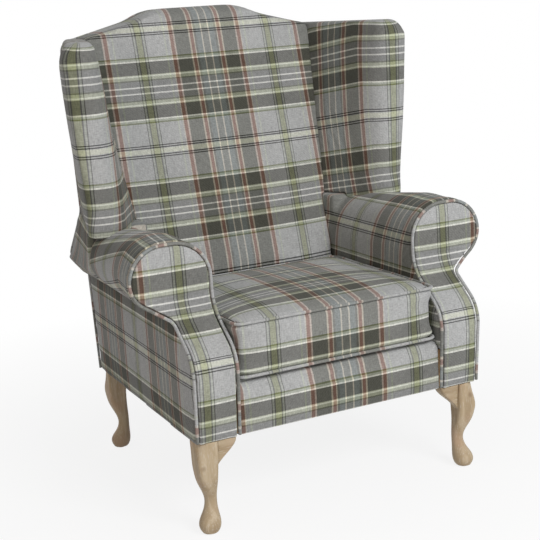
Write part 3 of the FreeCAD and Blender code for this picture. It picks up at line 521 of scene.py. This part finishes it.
def put(tree, kind, settings, inputs, stops=()):
    """Adds one node with its settings, its inputs as values or links, and a ramp's stops."""
    made = tree.nodes.new("ShaderNode" + kind)
    for name, value in settings.items():
        setattr(made, name, value)
    for name, value in inputs.items():
        if isinstance(value, bpy.types.NodeSocket):
            tree.links.new(value, made.inputs[name])
        else:
            made.inputs[name].default_value = value
    for k, (place, shade) in enumerate(stops):
        element = made.color_ramp.elements[k] if k < 2 else made.color_ramp.elements.new(place)
        element.position = place
        element.color = linear(shade) if isinstance(shade, str) else shade
    return made


def begin(name):
    """An empty material with its tree and output."""
    material = bpy.data.materials.new(name)
    material.use_nodes = True
    material.node_tree.nodes.clear()
    return material, material.node_tree


def finish_shader(tree, inputs):
    """The main shader with its inputs, joined to the material's output."""
    shader = put(tree, "BsdfPrincipled", {}, inputs)
    put(tree, "OutputMaterial", {}, {"Surface": shader.outputs[0]})


def drawn_in(tree):
    """The place in the piece itself, in metres."""
    return put(tree, "TexCoord", {}, {}).outputs["Object"]


def noise(tree, place, scale, detail, **more):
    """Soft random cloudiness, scale patches or so to the metre."""
    settings = {"Vector": place, "Scale": scale, "Detail": detail, **more}
    return put(tree, "TexNoise", {}, settings).outputs[0]


def spread(tree, value, low, high, to_low, to_high):
    """A value between low and high, carried over to lie between to_low and to_high."""
    return put(tree, "MapRange", {}, {0: value, 1: low, 2: high, 3: to_low, 4: to_high}).outputs[0]


def bumps(tree, height, strength, distance):
    """Relief: a height of 1 stands distance metres proud."""
    settings = {"Height": height, "Strength": strength, "Distance": distance}
    return put(tree, "Bump", {}, settings).outputs[0]


def plainly_seen(tree):
    """1 where the eye sees a surface directly, mirrored or through glass, and 0 where it only lights."""
    path = put(tree, "LightPath", {}, {})
    seen = path.outputs["Is Camera Ray"]
    for other in ("Is Glossy Ray", "Is Transmission Ray"):
        seen = put(tree, "Math", {"operation": "MAXIMUM"}, {0: seen, 1: path.outputs[other]}).outputs[0]
    return seen


# The cloth's stripes, in mm from the middle of each half repeat: where each begins, and its colour.
WARP_HALF = 173.5
WARP = [(0, "#565A52"), (8, "#DCD0B8"), (11, "#566260"), (25, "#3C3E36"), (30, "#D0BFA2"),
        (33, "#6C2C16"), (41, "#CCB898"), (45, "#2C2D20"), (82, "#C8AC98"), (85.5, "#6C2C16"),
        (94.5, "#D0C6B2"), (97.5, "#AAABAB"), (106, "#BEC6AE"), (110, "#AAABAB"), (156.8, "#262624"),
        (159.2, "#A2A89A"), (163.8, "#262624"), (166.2, "#7E8450")]
WEFT_HALF = 149.0
WEFT = [(0, "#CED0C0"), (5.3, "#AAABAB"), (7.2, "#282828"), (9.4, "#AAABAB"), (12.8, "#282828"),
        (15, "#AAABAB"), (67.7, "#6E735A"), (71.2, "#A5AA9B"), (75.8, "#E6E6DC"), (79.2, "#565651"),
        (110.5, "#AAAC98"), (112, "#DEE2D0"), (115.6, "#A5A995"), (122.5, "#62645A"), (126, "#7A7B7A"),
        (139.4, "#E1E1DC"), (142.6, "#7B7C7B")]
WEFT_SHARE = 0.65       # how much of the cloth's face is weft
DISPLAY_GAMMA = 2.2


def stripes(tree, place, half, colours):
    """The stripe colour at a place in the cloth: the pattern runs out and back every half repeat."""
    folded = put(tree, "Math", {"operation": "PINGPONG"}, {0: place, 1: half * MM})
    share = put(tree, "Math", {"operation": "DIVIDE"}, {0: folded.outputs[0], 1: half * MM})
    ramp = put(tree, "ValToRGB", {}, {"Fac": share.outputs[0]},
               [(start / half, shade) for start, shade in colours])
    ramp.color_ramp.interpolation = "CONSTANT"
    return put(tree, "Gamma", {}, {"Color": ramp.outputs[0], "Gamma": 1 / DISPLAY_GAMMA}).outputs[0]


def tartan_cloth():
    """Wool-mix tartan in twill weave: matt, heathered yarn, no shine but a faint bloom of fibre.

    Warp and weft threads show together at each point, about one part warp to two of weft, so the
    stripes cross as darker and lighter checks.
    """
    material, tree = begin("wool_mix_tartan_twill")
    cloth = put(tree, "UVMap", {"uv_map": "cloth"}, {}).outputs[0]
    split = put(tree, "SeparateXYZ", {}, {0: cloth})
    warp = stripes(tree, split.outputs[0], WARP_HALF, WARP)
    weft = stripes(tree, split.outputs[1], WEFT_HALF, WEFT)
    # The eye mixes the threads evenly in sRGB steps, so they are mixed there and turned back.
    both = put(tree, "MixRGB", {"blend_type": "MIX"}, {0: WEFT_SHARE, 1: warp, 2: weft})
    # Slubs: each yarn varies along its length. Threads lie about 1 mm apart, drawn here 1.6 mm.
    weft_yarn = put(tree, "Mapping", {}, {"Vector": cloth, "Scale": (90, 620, 1)}).outputs[0]
    warp_yarn = put(tree, "Mapping", {}, {"Vector": cloth, "Scale": (620, 70, 1),
                                          "Location": (3, 5, 2)}).outputs[0]
    weft_slub, warp_slub = [noise(tree, yarn, 1.0, 2.0, Roughness=0.6) for yarn in (weft_yarn, warp_yarn)]
    slubs = put(tree, "Math", {"operation": "ADD"}, {0: weft_slub, 1: warp_slub}).outputs[0]
    heather = spread(tree, slubs, 0.65, 1.35, 0.86, 1.14)
    # Broad, faint unevenness from handling and dye.
    worn = spread(tree, noise(tree, cloth, 9.0, 2.0), 0.3, 0.7, 0.965, 1.03)
    level = put(tree, "Math", {"operation": "MULTIPLY"}, {0: heather, 1: worn})
    toned = put(tree, "VectorMath", {"operation": "SCALE"}, {0: both.outputs[0], "Scale": level.outputs[0]})
    colour = put(tree, "Gamma", {}, {"Color": toned.outputs[0], "Gamma": DISPLAY_GAMMA})
    # Twill: shallow ribs across the cloth at 45 degrees, about 5 mm apart.
    twill = put(tree, "TexWave", {"wave_type": "BANDS", "bands_direction": "DIAGONAL"},
                {"Vector": cloth, "Scale": 90.0, "Distortion": 0.6, "Detail": 1.0})
    relief = put(tree, "Math", {"operation": "MULTIPLY_ADD"}, {0: slubs, 1: 0.8, 2: twill.outputs["Fac"]})
    finish_shader(tree, {"Base Color": colour.outputs[0], "Roughness": 0.92, "Specular IOR Level": 0.25,
                         "Sheen Weight": 0.12, "Sheen Roughness": 0.5,
                         "Normal": bumps(tree, relief.outputs[0], 0.35, 0.0006)})
    return material


def limed_wood(name, grain_way):
    """Limed beech: pale, with white lime left in the pores and a soft waxed sheen.

    grain_way stretches the figure along the grain: short rays and pores, soft wide growth bands,
    a few small knots and faint pink patches.
    """
    material, tree = begin(name)
    place = drawn_in(tree)
    grain = put(tree, "Mapping", {}, {"Vector": place, "Scale": grain_way}).outputs[0]
    bands = noise(tree, grain, 55.0, 3.0, Distortion=0.6)
    shade = put(tree, "ValToRGB", {}, {"Fac": bands}, [(0.3, "#A08A6C"), (0.62, "#C0AE92"), (0.5, "#B29E80")])
    pores = noise(tree, grain, 480.0, 2.0)
    lime = spread(tree, pores, 0.56, 0.7, 0.0, 0.55)
    limed = put(tree, "MixRGB", {}, {0: lime, 1: shade.outputs[0], 2: linear("#D2C9B9")})
    pink = spread(tree, noise(tree, place, 14.0, 1.0), 0.55, 0.72, 0.0, 0.4)
    tinted = put(tree, "MixRGB", {}, {0: pink, 1: limed.outputs[0], 2: linear("#B9967E")})
    knots = put(tree, "TexVoronoi", {}, {"Vector": place, "Scale": 13.0})
    knot = spread(tree, knots.outputs["Distance"], 0.05, 0.11, 0.5, 0.0)
    knotted = put(tree, "MixRGB", {}, {0: knot, 1: tinted.outputs[0], 2: linear("#7C6248")})
    rough = spread(tree, bands, 0.2, 0.8, 0.5, 0.66)
    finish_shader(tree, {"Base Color": knotted.outputs[0], "Roughness": rough, "IOR": 1.5,
                         "Normal": bumps(tree, pores, 0.25, 0.0005)})
    return material


def grained(name, dark, pale, stretch, scale, roughness, depth):
    """Sawn frame timber: two tones along the grain, dry and matt, with the saw's fine ridges."""
    material, tree = begin(name)
    grain = put(tree, "Mapping", {}, {"Vector": drawn_in(tree), "Scale": stretch}).outputs[0]
    bands = noise(tree, grain, scale, 4.0, Distortion=0.4)
    shade = put(tree, "ValToRGB", {}, {"Fac": bands}, [(0.35, dark), (0.65, pale)])
    finish_shader(tree, {"Base Color": shade.outputs[0], "Roughness": roughness,
                         "Normal": bumps(tree, bands, 0.3, depth)})
    return material


def metal(name, dark, pale, roughness):
    """Plated or drawn metal: nearly even, with slight cloudiness in its tone and its polish."""
    material, tree = begin(name)
    cloud = noise(tree, drawn_in(tree), 160.0, 3.0)
    shade = put(tree, "ValToRGB", {}, {"Fac": cloud}, [(0.3, dark), (0.7, pale)])
    rough = spread(tree, cloud, 0.2, 0.8, roughness - 0.06, roughness + 0.08)
    finish_shader(tree, {"Base Color": shade.outputs[0], "Metallic": 1.0, "Roughness": rough})
    return material


def plain_weave(name, dark, pale, threads, roughness):
    """Plain woven or felted cloth: crossing ribs, one to every second of its threads per metre,
    and uneven yarn."""
    material, tree = begin(name)
    place = drawn_in(tree)
    settings = {"Vector": place, "Scale": threads / 6.3, "Distortion": 0.4}
    x_ribs, z_ribs, y_ribs = [put(tree, "TexWave", {"bands_direction": way}, settings).outputs["Fac"]
                              for way in "XZY"]
    ribs = put(tree, "Math", {"operation": "MAXIMUM"}, {0: x_ribs, 1: z_ribs})
    weave = put(tree, "Math", {"operation": "ADD"}, {0: ribs.outputs[0], 1: y_ribs})
    fuzz = noise(tree, place, 400.0, 3.0)
    level = put(tree, "Math", {"operation": "MULTIPLY"}, {0: weave.outputs[0], 1: fuzz}).outputs[0]
    shade = put(tree, "ValToRGB", {}, {"Fac": level}, [(0.15, dark), (0.9, pale)])
    finish_shader(tree, {"Base Color": shade.outputs[0], "Roughness": roughness,
                         "Normal": bumps(tree, level, 0.4, 0.0006)})
    return material


def moulded_plastic(name, dark, pale):
    """Moulded nylon: a waxy, half glossy skin with faint clouding and a fine spark-eroded grain."""
    material, tree = begin(name)
    place = drawn_in(tree)
    shade = put(tree, "ValToRGB", {}, {"Fac": noise(tree, place, 60.0, 2.0)}, [(0.3, dark), (0.7, pale)])
    finish_shader(tree, {"Base Color": shade.outputs[0], "Roughness": 0.38,
                         "Normal": bumps(tree, noise(tree, place, 1800.0, 1.0), 0.3, 0.0002)})
    return material


def foam_material():
    """Cut polyurethane foam: pale cream, dry, open cells about 1 mm across."""
    material, tree = begin("cut_seat_foam")
    cells = put(tree, "TexVoronoi", {}, {"Vector": drawn_in(tree), "Scale": 700.0}).outputs["Distance"]
    shade = put(tree, "ValToRGB", {}, {"Fac": cells}, [(0.1, "#CDBF92"), (0.7, "#EFE6C6")])
    finish_shader(tree, {"Base Color": shade.outputs[0], "Roughness": 0.95,
                         "Normal": bumps(tree, cells, 0.5, 0.0008)})
    return material


TARTAN = tartan_cloth()
# The legs' grain stands upright; the ears' runs across, from side to side.
LEG_WOOD = limed_wood("limed_beech", (1.0, 1.0, 0.12))
EAR_WOOD = limed_wood("limed_beech_cross", (0.12, 1.0, 1.0))
BEECH = grained("sawn_beech_frame", "#A9825A", "#D2B083", (0.25, 1.0, 1.0), 60.0, 0.75, 0.0008)
SPRING = metal("drawn_spring_steel", "#4B4E54", "#73777E", 0.38)
ZINC = metal("zinc_plated_steel", "#A7ABB0", "#C9CDD2", 0.3)
NICKEL = metal("nickel_plated_brass", "#B4B0A6", "#D6D3CA", 0.26)
WEBBING = plain_weave("elastic_webbing", "#2B2B2D", "#8B857A", 500.0, 0.85)
LINING = plain_weave("black_spun_lining", "#0E0E0F", "#2C2C2E", 700.0, 0.9)
FELT = plain_weave("grey_wool_felt", "#5A5850", "#8B877B", 350.0, 0.95)
TAPE = plain_weave("zip_tape_cotton", "#34352F", "#5F6158", 800.0, 0.85)
NYLON = moulded_plastic("moulded_nylon", "#D9D6CC", "#E6E3DA")
FOAM = foam_material()

TIMBER = ("rail", "corner_post", "corner_blocks", "rear_post", "board", "wing_upright", "front_block")
for name, node in nodes.items():
    finish = None
    if name.startswith("leg_ear"):
        finish = EAR_WOOD
    elif name.startswith(("leg_front", "leg_rear")):
        finish = LEG_WOOD
    elif any(word in name for word in TIMBER):
        finish = BEECH
    elif name == "seat_springs":
        finish = SPRING
    elif name in ("spring_clips", "leg_bolts", "leg_inserts"):
        finish = ZINC
    elif name in ("zip_slider", "zip_pull"):
        finish = NICKEL
    elif name == "foot_glides":
        finish = NYLON
    if finish:
        node.data.materials.clear()
        node.data.materials.append(finish)


# ---------------------------------------------------------------- where each pad may swell
# Each function gives every point's freedom from its place p and outward direction n: the product
# of eased distances to the pad's seams, and 0 where the pad rests on something.
def free_cushion(p, n):
    """The top swells from 8 mm inside its rim; the boxing, front and sides, by a third of that."""
    x, y, z = np.abs(p[:, 0]), p[:, 1], p[:, 2]
    rim = np.minimum(np.minimum(CUSHION_HALF - x, y - CUSHION_FRONT), CUSHION_REAR - y)
    top = ease((rim - 8) / 80) * (z > 440)
    boxing = 0.35 * ease(np.minimum(z - 336, 437 - z) / 34) * (rim < 16) * (y < 55)
    return np.maximum(top, boxing)


def free_back(p, n):
    """The front face swells between the creases and above the cushion."""
    x, y, z = np.abs(p[:, 0]), p[:, 1], p[:, 2]
    front = ease((30 - (y - inside_back(z) - 18 * (x / 290) ** 2)) / 20)
    return front * ease((crease(np.minimum(z, WING_TOP)) - x - 4) / 70) * ease((z - 440) / 60)


def free_arm(p, n):
    """The outline's skin swells over the inner side and the roll, clear of the facing."""
    x, y, z = np.abs(p[:, 0]), p[:, 1], p[:, 2]
    arc, gap = along(ARM_STATIONS, ARM_LINES, y, np.stack([x, z], -1))
    return (ease((7 - gap) / 3) * ease((arc - 250) / 60) * ease((715 - arc) / 40)
            * ease((y - SCROLL_Y - 12) / 40) * ease((150 - y) / 60))


def free_wing(p, n):
    """The plan's skin swells from the crease round to the rear seam, clear of foot and top."""
    x, y, z = np.abs(p[:, 0]), p[:, 1], p[:, 2]
    arc, gap = along(WING_STATIONS, WING_LINES, z, np.stack([x, y], -1))
    return (ease((7 - gap) / 3) * ease((arc - 10) / 50) * ease((outside_back(z) - 20 - y) / 50)
            * ease((z - 604) / 40) * ease((1050 - z) / 60))


def free_facing(p, n):
    """The front skin swells from 10 mm inside its outline."""
    x, y, z = np.abs(p[:, 0]), p[:, 1], p[:, 2]
    arc, gap = along([0, 1], [FACING_LINE, FACING_LINE], np.zeros(len(x)), np.stack([x, z], -1))
    return ease((gap - 10) / 16) * (y < swan_front(z) + 6)


def free_border(p, n):
    """The front face swells above its lower seam and between the facings."""
    x, z = np.abs(p[:, 0]), p[:, 2]
    return ease((248 - x) / 30) * ease((z - 212) / 25) * (n[:, 1] < -0.3)


def free_side(p, n):
    """The outer face swells inside its four seams."""
    y, z = p[:, 1], p[:, 2]
    inside = ease((z - 212) / 30) * ease((446 - z) / 30)
    return inside * (n[:, 0] > 0.5) * ease((296 - y) / 30) * ease((y + 350) / 40)


def free_rear(p, n):
    """The outer face swells from 8 mm inside the back cord."""
    x, z = np.abs(p[:, 0]), p[:, 2]
    edge = np.where(z < NECK_Z, 336 - x, np.minimum(372 - x, 1068 - z))
    return ease((edge - 8) / 60) * (n[:, 1] > 0.5) * ease((z - 215) / 40)


# ---------------------------------------------------------------- how the stuffing shapes the forms
def flared(p):
    """The wing's cover runs out over the rear of the roll: above the roll's fullest place each
    point's x is held under a line from the roll's side to the wing's outer side at that depth."""
    x, y, z = np.abs(p[:, 0]), p[:, 1], p[:, 2]
    roll = 402 - 22 * (y - 90) / 235
    wing = 420 - 82 * np.clip((y - 4) / 317, 0, 1)
    limit = roll + (wing - roll) * np.clip((z - 498) / 104, 0, 1) ** 0.65
    over = np.where((z > 470) & (z < 603) & (y > 80), np.maximum(x - limit, 0), 0)
    moved = p.copy()
    moved[:, 0] = np.sign(p[:, 0]) * (x - 0.9 * over)
    return moved


def full_wing(p):
    """The wing's outer front corner is stuffed squarer than its board: a point at angle a round
    the corner's middle lies at radius (cos^4 a + sin^4 a)^(-1/4) times its own. The foot presses
    8 to 16 mm into the arm, and the upper part stands 5 mm further out."""
    moved = flared(p)
    x, y, z = np.abs(moved[:, 0]), moved[:, 1], moved[:, 2]
    outer = 420 + 25 * np.clip((z - WING_Z) / 389, 0, 1)
    dx, dy = np.maximum(x - outer + 38, 0), np.maximum(42 - y, 0)
    size = np.maximum(np.hypot(dx, dy), 1e-6)
    square = ((dx / size) ** 4 + (dy / size) ** 4 + 1e-9) ** -0.25
    square = np.where((dx > 0) & (dy > 0) & (z > 590), square, 1.0) - 1
    x, y = x + dx * square, y - dy * square
    x += 6 * ease((z - 640) / 220) * ease((1035 - z) / 50) * ease((x - 330) / 70)
    sink = 8 + 8 * ease((330 - x) / 40)
    z = z - np.where((y < 88) & (z > 585), sink * ease((626 - z) / 28), 0)
    return np.stack([np.sign(p[:, 0]) * x, y, z], -1)


def pressed_back(p):
    """The back's side edges press 5 mm into the wings and its foot's corners into the arms."""
    x, z = np.abs(p[:, 0]), p[:, 2]
    side = crease(np.minimum(z, WING_TOP))
    out = 5 * ease((x - side + 32) / 26) * ease((z - 452) / 30) * ease((1030 - z) / 30)
    moved = p.copy()
    moved[:, 0] += np.sign(p[:, 0]) * out
    return moved


def square_cushion(p):
    """The cushion's upright corners are filled out: round each corner's middle a point's radius
    grows by (cos^4 a + sin^4 a)^(-1/4). Its front is 2 in 100 wider and 7 mm further forward."""
    x, y = np.abs(p[:, 0]), p[:, 1]
    dx = np.maximum(x - CUSHION_HALF + 34, 0)
    dy = np.maximum(CUSHION_FRONT + 34 - y, 0)
    size = np.maximum(np.hypot(dx, dy), 1e-6)
    square = ((dx / size) ** 4 + (dy / size) ** 4 + 1e-9) ** -0.25
    square = 0.7 * (np.where((dx > 0) & (dy > 0), square, 1.0) - 1)
    x = (x + dx * square) * (1 + 0.02 * ease((-y - 60) / 150))
    y = y - dy * square - 7 * ease((-y - 200) / 120)
    return np.stack([np.sign(p[:, 0]) * x, y, p[:, 2]], -1)


start_pad("cushion_pad", "seat_cushion_core", 5.0, 14.0, free_cushion, 0.15, shape=square_cushion)
start_pad("back_pad", "inside_back_pad", 6.0, 9.0, free_back, 0.5, shape=pressed_back)
start_pad("arm_left", "arm_pad_left", 6.0, 5.0, free_arm, 0.5)
start_pad("wing_left", "wing_pad_left", 5.5, 6.0, free_wing, 0.15, shape=full_wing)
start_pad("facing_left", "arm_facing_left", 3.2, 4.0, free_facing, 0.3)
start_pad("border", "front_border", 3.5, 4.0, free_border, 0.4)
start_pad("side_left", "side_panel_left", 4.0, 3.5, free_side, 0.4)
start_pad("rear_panel", "outside_back_panel", 4.0, 4.0, free_rear, 0.4, shape=flared)
pads = swell_pads()

pad_piece("seat_cushion", pads["cushion_pad"], cloth_on_cushion, "seat_cushion_cover", "seat_cushion")
pad_piece("inside_back", pads["back_pad"], cloth_on_back, "inside_back_pad")
pad_piece("front_border_pad", pads["border"], cloth_on_border, "front_border")
pad_piece("outside_back", pads["rear_panel"], cloth_on_rear, "outside_back_panel", flat=True)
for label, rule, stem in (("arm", cloth_on_arm, "arm_pad"), ("wing", cloth_on_wing, "wing_pad"),
                          ("facing", cloth_on_facing, "arm_facing"), ("side", cloth_on_side, "side_panel")):
    left = pads[label + "_left"]
    right = other_side(label + "_right", left)
    for hand, mesh in (("left", left), ("right", right)):
        pad_piece(label + "_cover_" + hand, mesh, rule, stem + "_" + hand, flat=label == "side")


# ---------------------------------------------------------------- cords
def facing_path(sign):
    """Round the facing's edge, 5 mm in from the arm's outline, lying on the arm's front line."""
    line = evenly(rounded([(SEAT_HALF + 2.2, BASE_Z + 4), (SEAT_HALF - 4 + 4.7, ARM_TOP - 4.7),
                           (SCROLL_OUT - 4.7, ARM_TOP - 4.7), (SCROLL_OUT - 4.7, NECK_Z + 55),
                           (BASE_HALF - 1, NECK_Z + 1.5), (BASE_HALF - 3.6, BASE_Z + 4)],
                          [0, 80, 75, 60, 17, 0], turn_points=24), 4.0)
    return np.stack([sign * line[:, 0], swan_front(line[:, 1], PIPING_RADIUS - 0.2), line[:, 1]], -1)


for hand, sign in (("left", 1), ("right", -1)):
    label = "facing_cord_" + hand
    keep(label, cord(label, facing_path(sign), PIPING_RADIUS, False, (0, 1, 0)),
         "chair", TARTAN, ["facing_piping_" + hand])


def cushion_ring(z):
    """Round the cushion's plan at height z, 4.5 mm in from its sides, with its corners squared."""
    edge = 4.5
    corners = [(-CUSHION_HALF + edge, CUSHION_FRONT + edge), (CUSHION_HALF - edge, CUSHION_FRONT + edge),
               (CUSHION_HALF - edge, CUSHION_REAR - edge), (-CUSHION_HALF + edge, CUSHION_REAR - edge)]
    line = evenly(rounded(corners, [CUSHION_CORNER - edge] * 4, True, 16), 4.0, True)
    return square_cushion(np.concatenate([line, np.full((len(line), 1), z)], 1))


def cushion_cord(z):
    """One cord of the cushion; its stripes meet those of the boxing."""
    ring = cushion_ring(z)
    arc = round_cushion(np.stack([np.abs(ring[:, 0]), ring[:, 1]], -1))
    return cord("cushion_cord", ring, CUSHION_CORD_RADIUS, True, (0, 0, 1), np.sign(ring[:, 0]) * arc - 12)


cushion_cords = joined("cushion_cords", [cushion_cord(z) for z in (CORD_LOW, CORD_HIGH)])
keep("cushion_cords", cushion_cords, "seat_cushion", TARTAN, ["cushion_piping"])


def rear_path():
    """Round the outside back, from one foot over the humped top to the other."""
    right = [(335, BASE_Z + 1), (334, NECK_Z), (376, NECK_Z + 46), (334, WING_Z + 6), (332, WING_TOP - 6),
             (300, WING_TOP - 3), (165, 1052), (115, 1076)]
    radii = [0, 10, 28, 60, 30, 12, 180, 160]
    points = right + [(-x, z) for x, z in right[::-1]]
    line = evenly(rounded(points, radii + radii[::-1], turn_points=16), 5.0)
    return np.stack([line[:, 0], outside_back(line[:, 1]) - BACK_CORD_RADIUS, line[:, 1]], -1)


keep("back_cord", cord("back_cord", rear_path(), BACK_CORD_RADIUS, False, (0, 1, 0.1)),
     "chair", TARTAN, ["back_piping"])


# ---------------------------------------------------------------- ears beside the front legs
def ear_mesh(name, sign):
    """A carved ear: rounded sections from the seat down, one side on the leg, the other a cyma.

    At a share t of the way down the inner side lies at 256.9 + (leg side - 256.9) ease(t), and
    each section is |x|^5 + |y|^5 = 1 between the two sides.
    """
    leg = positions(nodes["leg_front_left"].data) / MM
    level = np.linspace(206.4, 140.0, 30)
    near = [leg[np.abs(leg[:, 2] - z) < 3] for z in level]
    side = np.array([one[:, 0].min() for one in near]) + 2.0
    middle = np.array([(one[:, 1].min() + one[:, 1].max()) / 2 for one in near])
    t = np.linspace(0, 1, 30)
    inner = 256.9 + (side - 1.2 - 256.9) * ease((t - 0.06) / 0.94)
    depth = 20.3 - 12 * t
    centre = -341.5 + (middle - middle[0]) * t
    angle = np.linspace(0, 2 * math.pi, 32, endpoint=False)
    c, s = np.cos(angle), np.sin(angle)
    across = np.sign(c) * np.abs(c) ** 0.4
    along_depth = np.sign(s) * np.abs(s) ** 0.4
    x = (inner + side)[:, None] / 2 + (side - inner)[:, None] / 2 * across
    y = centre[:, None] + depth[:, None] * along_depth
    grid = np.stack([sign * x, y, np.repeat(level[:, None], 32, 1)], -1)
    return surface(name, grid, around=True, caps=True)


for hand, sign in (("left", 1), ("right", -1)):
    keep("ear_" + hand, ear_mesh("ear_" + hand, sign), "chair", EAR_WOOD, ["leg_ear_" + hand])

# ---------------------------------------------------------------- hidden soft parts
core = merged_copy("foam_core", "seat_cushion_core")
core_points, core_normals = positions(core), vertex_normals(core)
core.vertices.foreach_set("co", (core_points - core_normals * 5 * MM).astype(np.float32).ravel())
keep("foam_core", core, "seat_cushion", FOAM, ["seat_cushion_core"])

platform = merged_copy("felt_platform", "seat_platform")
felt = keep("felt_platform", platform, "chair", FELT, ["seat_platform"])
edge = felt.modifiers.new("edge", "BEVEL")
edge.width = 0.006
edge.segments = 4

lining = keep("under_lining", merged_copy("under_lining", "dust_cover"),
              "chair", LINING, ["dust_cover"])
keep("back_straps", merged_copy("back_straps", "back_webbing"),
     "chair", WEBBING, ["back_webbing"])


def box_row(centres, half):
    """Many small boxes in one mesh: each centre plus the eight signed half sizes."""
    signs = np.array([(a, b, c) for a in (-1, 1) for b in (-1, 1) for c in (-1, 1)], float)
    points = (centres[:, None] + signs * half).reshape(-1, 3) * MM
    six = np.array([(0, 1, 3, 2), (4, 6, 7, 5), (0, 4, 5, 1), (2, 3, 7, 6), (0, 2, 6, 4), (1, 5, 7, 3)])
    faces = (six[None] + np.arange(len(centres))[:, None, None] * 8).reshape(-1, 4)
    return points, faces


def zip_mesh():
    """Two woven tapes side by side with a row of teeth every 2.5 mm, left and right in turn."""
    tapes = np.array([(0, 73.6, 379.0), (0, 73.6, 394.0)])
    tape_points, tape_faces = box_row(tapes, np.array((200, 0.6, 7.3)))
    at = np.arange(-196, 196.1, 1.25)
    turn = np.where(np.arange(len(at)) % 2, 0.7, -0.7)
    teeth = np.stack([at, np.full(len(at), 74.8), 386.5 + turn], -1)
    tooth_points, tooth_faces = box_row(teeth, np.array((0.45, 0.7, 1.7)))
    mesh = bpy.data.meshes.new("zip_tape")
    mesh.from_pydata(np.concatenate([tape_points, tooth_points]).tolist(), [],
                     np.concatenate([tape_faces, tooth_faces + len(tape_points)]).tolist())
    outward(mesh)
    return mesh, len(tape_faces)


zip_shape, tape_count = zip_mesh()
zip_piece = keep("zip_tape", zip_shape, "seat_cushion", TAPE, ["cushion_zip_tape"])
zip_piece.data.materials.append(NICKEL)
is_tooth = np.arange(len(zip_shape.polygons)) >= tape_count
zip_shape.polygons.foreach_set("material_index", is_tooth.astype(np.int32))


# ---------------------------------------------------------------- floor, light, camera
def floor():
    """A plain white floor that shows a soft shadow near the chair and runs into white further off."""
    material, tree = begin("white_floor_paper")
    away = put(tree, "VectorMath", {"operation": "LENGTH"}, {0: drawn_in(tree)})
    plain = spread(tree, away.outputs["Value"], 0.5, 1.6, 0.86, 1.0)
    share = put(tree, "Math", {"operation": "MULTIPLY"}, {0: plainly_seen(tree), 1: plain})
    paper = put(tree, "BsdfDiffuse", {}, {"Color": (0.86, 0.86, 0.86, 1)})
    glow = put(tree, "Emission", {}, {"Color": (1, 1, 1, 1), "Strength": 1.0})
    mixed = put(tree, "MixShader", {}, {0: share.outputs[0], 1: paper.outputs[0], 2: glow.outputs[0]})
    put(tree, "OutputMaterial", {}, {"Surface": mixed.outputs[0]})
    reach = 15.0
    corners = [(-reach, -reach, 0), (reach, -reach, 0), (reach, reach, 0), (-reach, reach, 0)]
    mesh = bpy.data.meshes.new("floor")
    mesh.from_pydata(corners, [], [(0, 1, 2, 3)])
    made = bpy.data.objects.new("floor", mesh)
    scene.collection.objects.link(made)
    mesh.materials.append(material)


def world_light(strength):
    """Even white surroundings: plain white where they are seen, softer where they light the chair."""
    world = bpy.data.worlds.new("studio")
    scene.world = world
    world.use_nodes = True
    tree = world.node_tree
    tree.nodes.clear()
    soft = put(tree, "Background", {}, {"Color": (1, 1, 1, 1), "Strength": strength})
    white = put(tree, "Background", {}, {"Color": (1, 1, 1, 1), "Strength": 1.0})
    mixed = put(tree, "MixShader", {}, {0: plainly_seen(tree), 1: soft.outputs[0], 2: white.outputs[0]})
    put(tree, "OutputWorld", {}, {"Surface": mixed.outputs[0]})


def soft_box(name, place, aim, size, watts, tone=(1, 1, 1)):
    """A rectangular lamp with a diffuser, facing aim."""
    lamp = bpy.data.lights.new(name, "AREA")
    lamp.shape = "RECTANGLE"
    lamp.size, lamp.size_y = size
    lamp.energy = watts
    lamp.color = tone
    made = bpy.data.objects.new(name, lamp)
    scene.collection.objects.link(made)
    made.matrix_world = look(place, aim)


def look(place, aim, roll=0.0):
    """A frame at place whose -Z axis points to aim; roll turns it about that axis."""
    back = np.array(place, float) - np.array(aim, float)
    back /= np.linalg.norm(back)
    right = np.cross((0, 0, 1), back)
    right /= np.linalg.norm(right)
    up = np.cross(back, right)
    side = math.cos(roll) * right - math.sin(roll) * up
    rise = math.cos(roll) * up + math.sin(roll) * right
    at = np.array(place, float)
    turn = np.stack([side, rise, back, at], -1)
    return Matrix(turn.tolist() + [[0, 0, 0, 1]])


floor()
world_light(0.31)
soft_box("key", (0.55, -3.1, 2.3), (0, 0, 0.55), (1.5, 1.2), 78)
soft_box("fill", (-2.4, -1.9, 1.5), (0, 0, 0.5), (1.6, 1.6), 9, (1.0, 0.8, 0.64))

camera = bpy.data.cameras.new("camera")
camera.sensor_width = 36.0
camera.lens = 1214.68 / 540 * camera.sensor_width   # 1214.68 pixels, in a frame 540 wide
camera_object = bpy.data.objects.new("camera", camera)
scene.collection.objects.link(camera_object)
azimuth, elevation, roll = (math.radians(a) for a in (-26.001, 12.851, 3.52))
level = math.cos(elevation)
toward = np.array([math.sin(azimuth) * level, -math.cos(azimuth) * level, math.sin(elevation)])
eye = np.array([-1.2256, -2.5497, 1.1029])
camera_object.matrix_world = look(eye, eye - toward, roll)
scene.camera = camera_object
scene.view_settings.view_transform = "Standard"
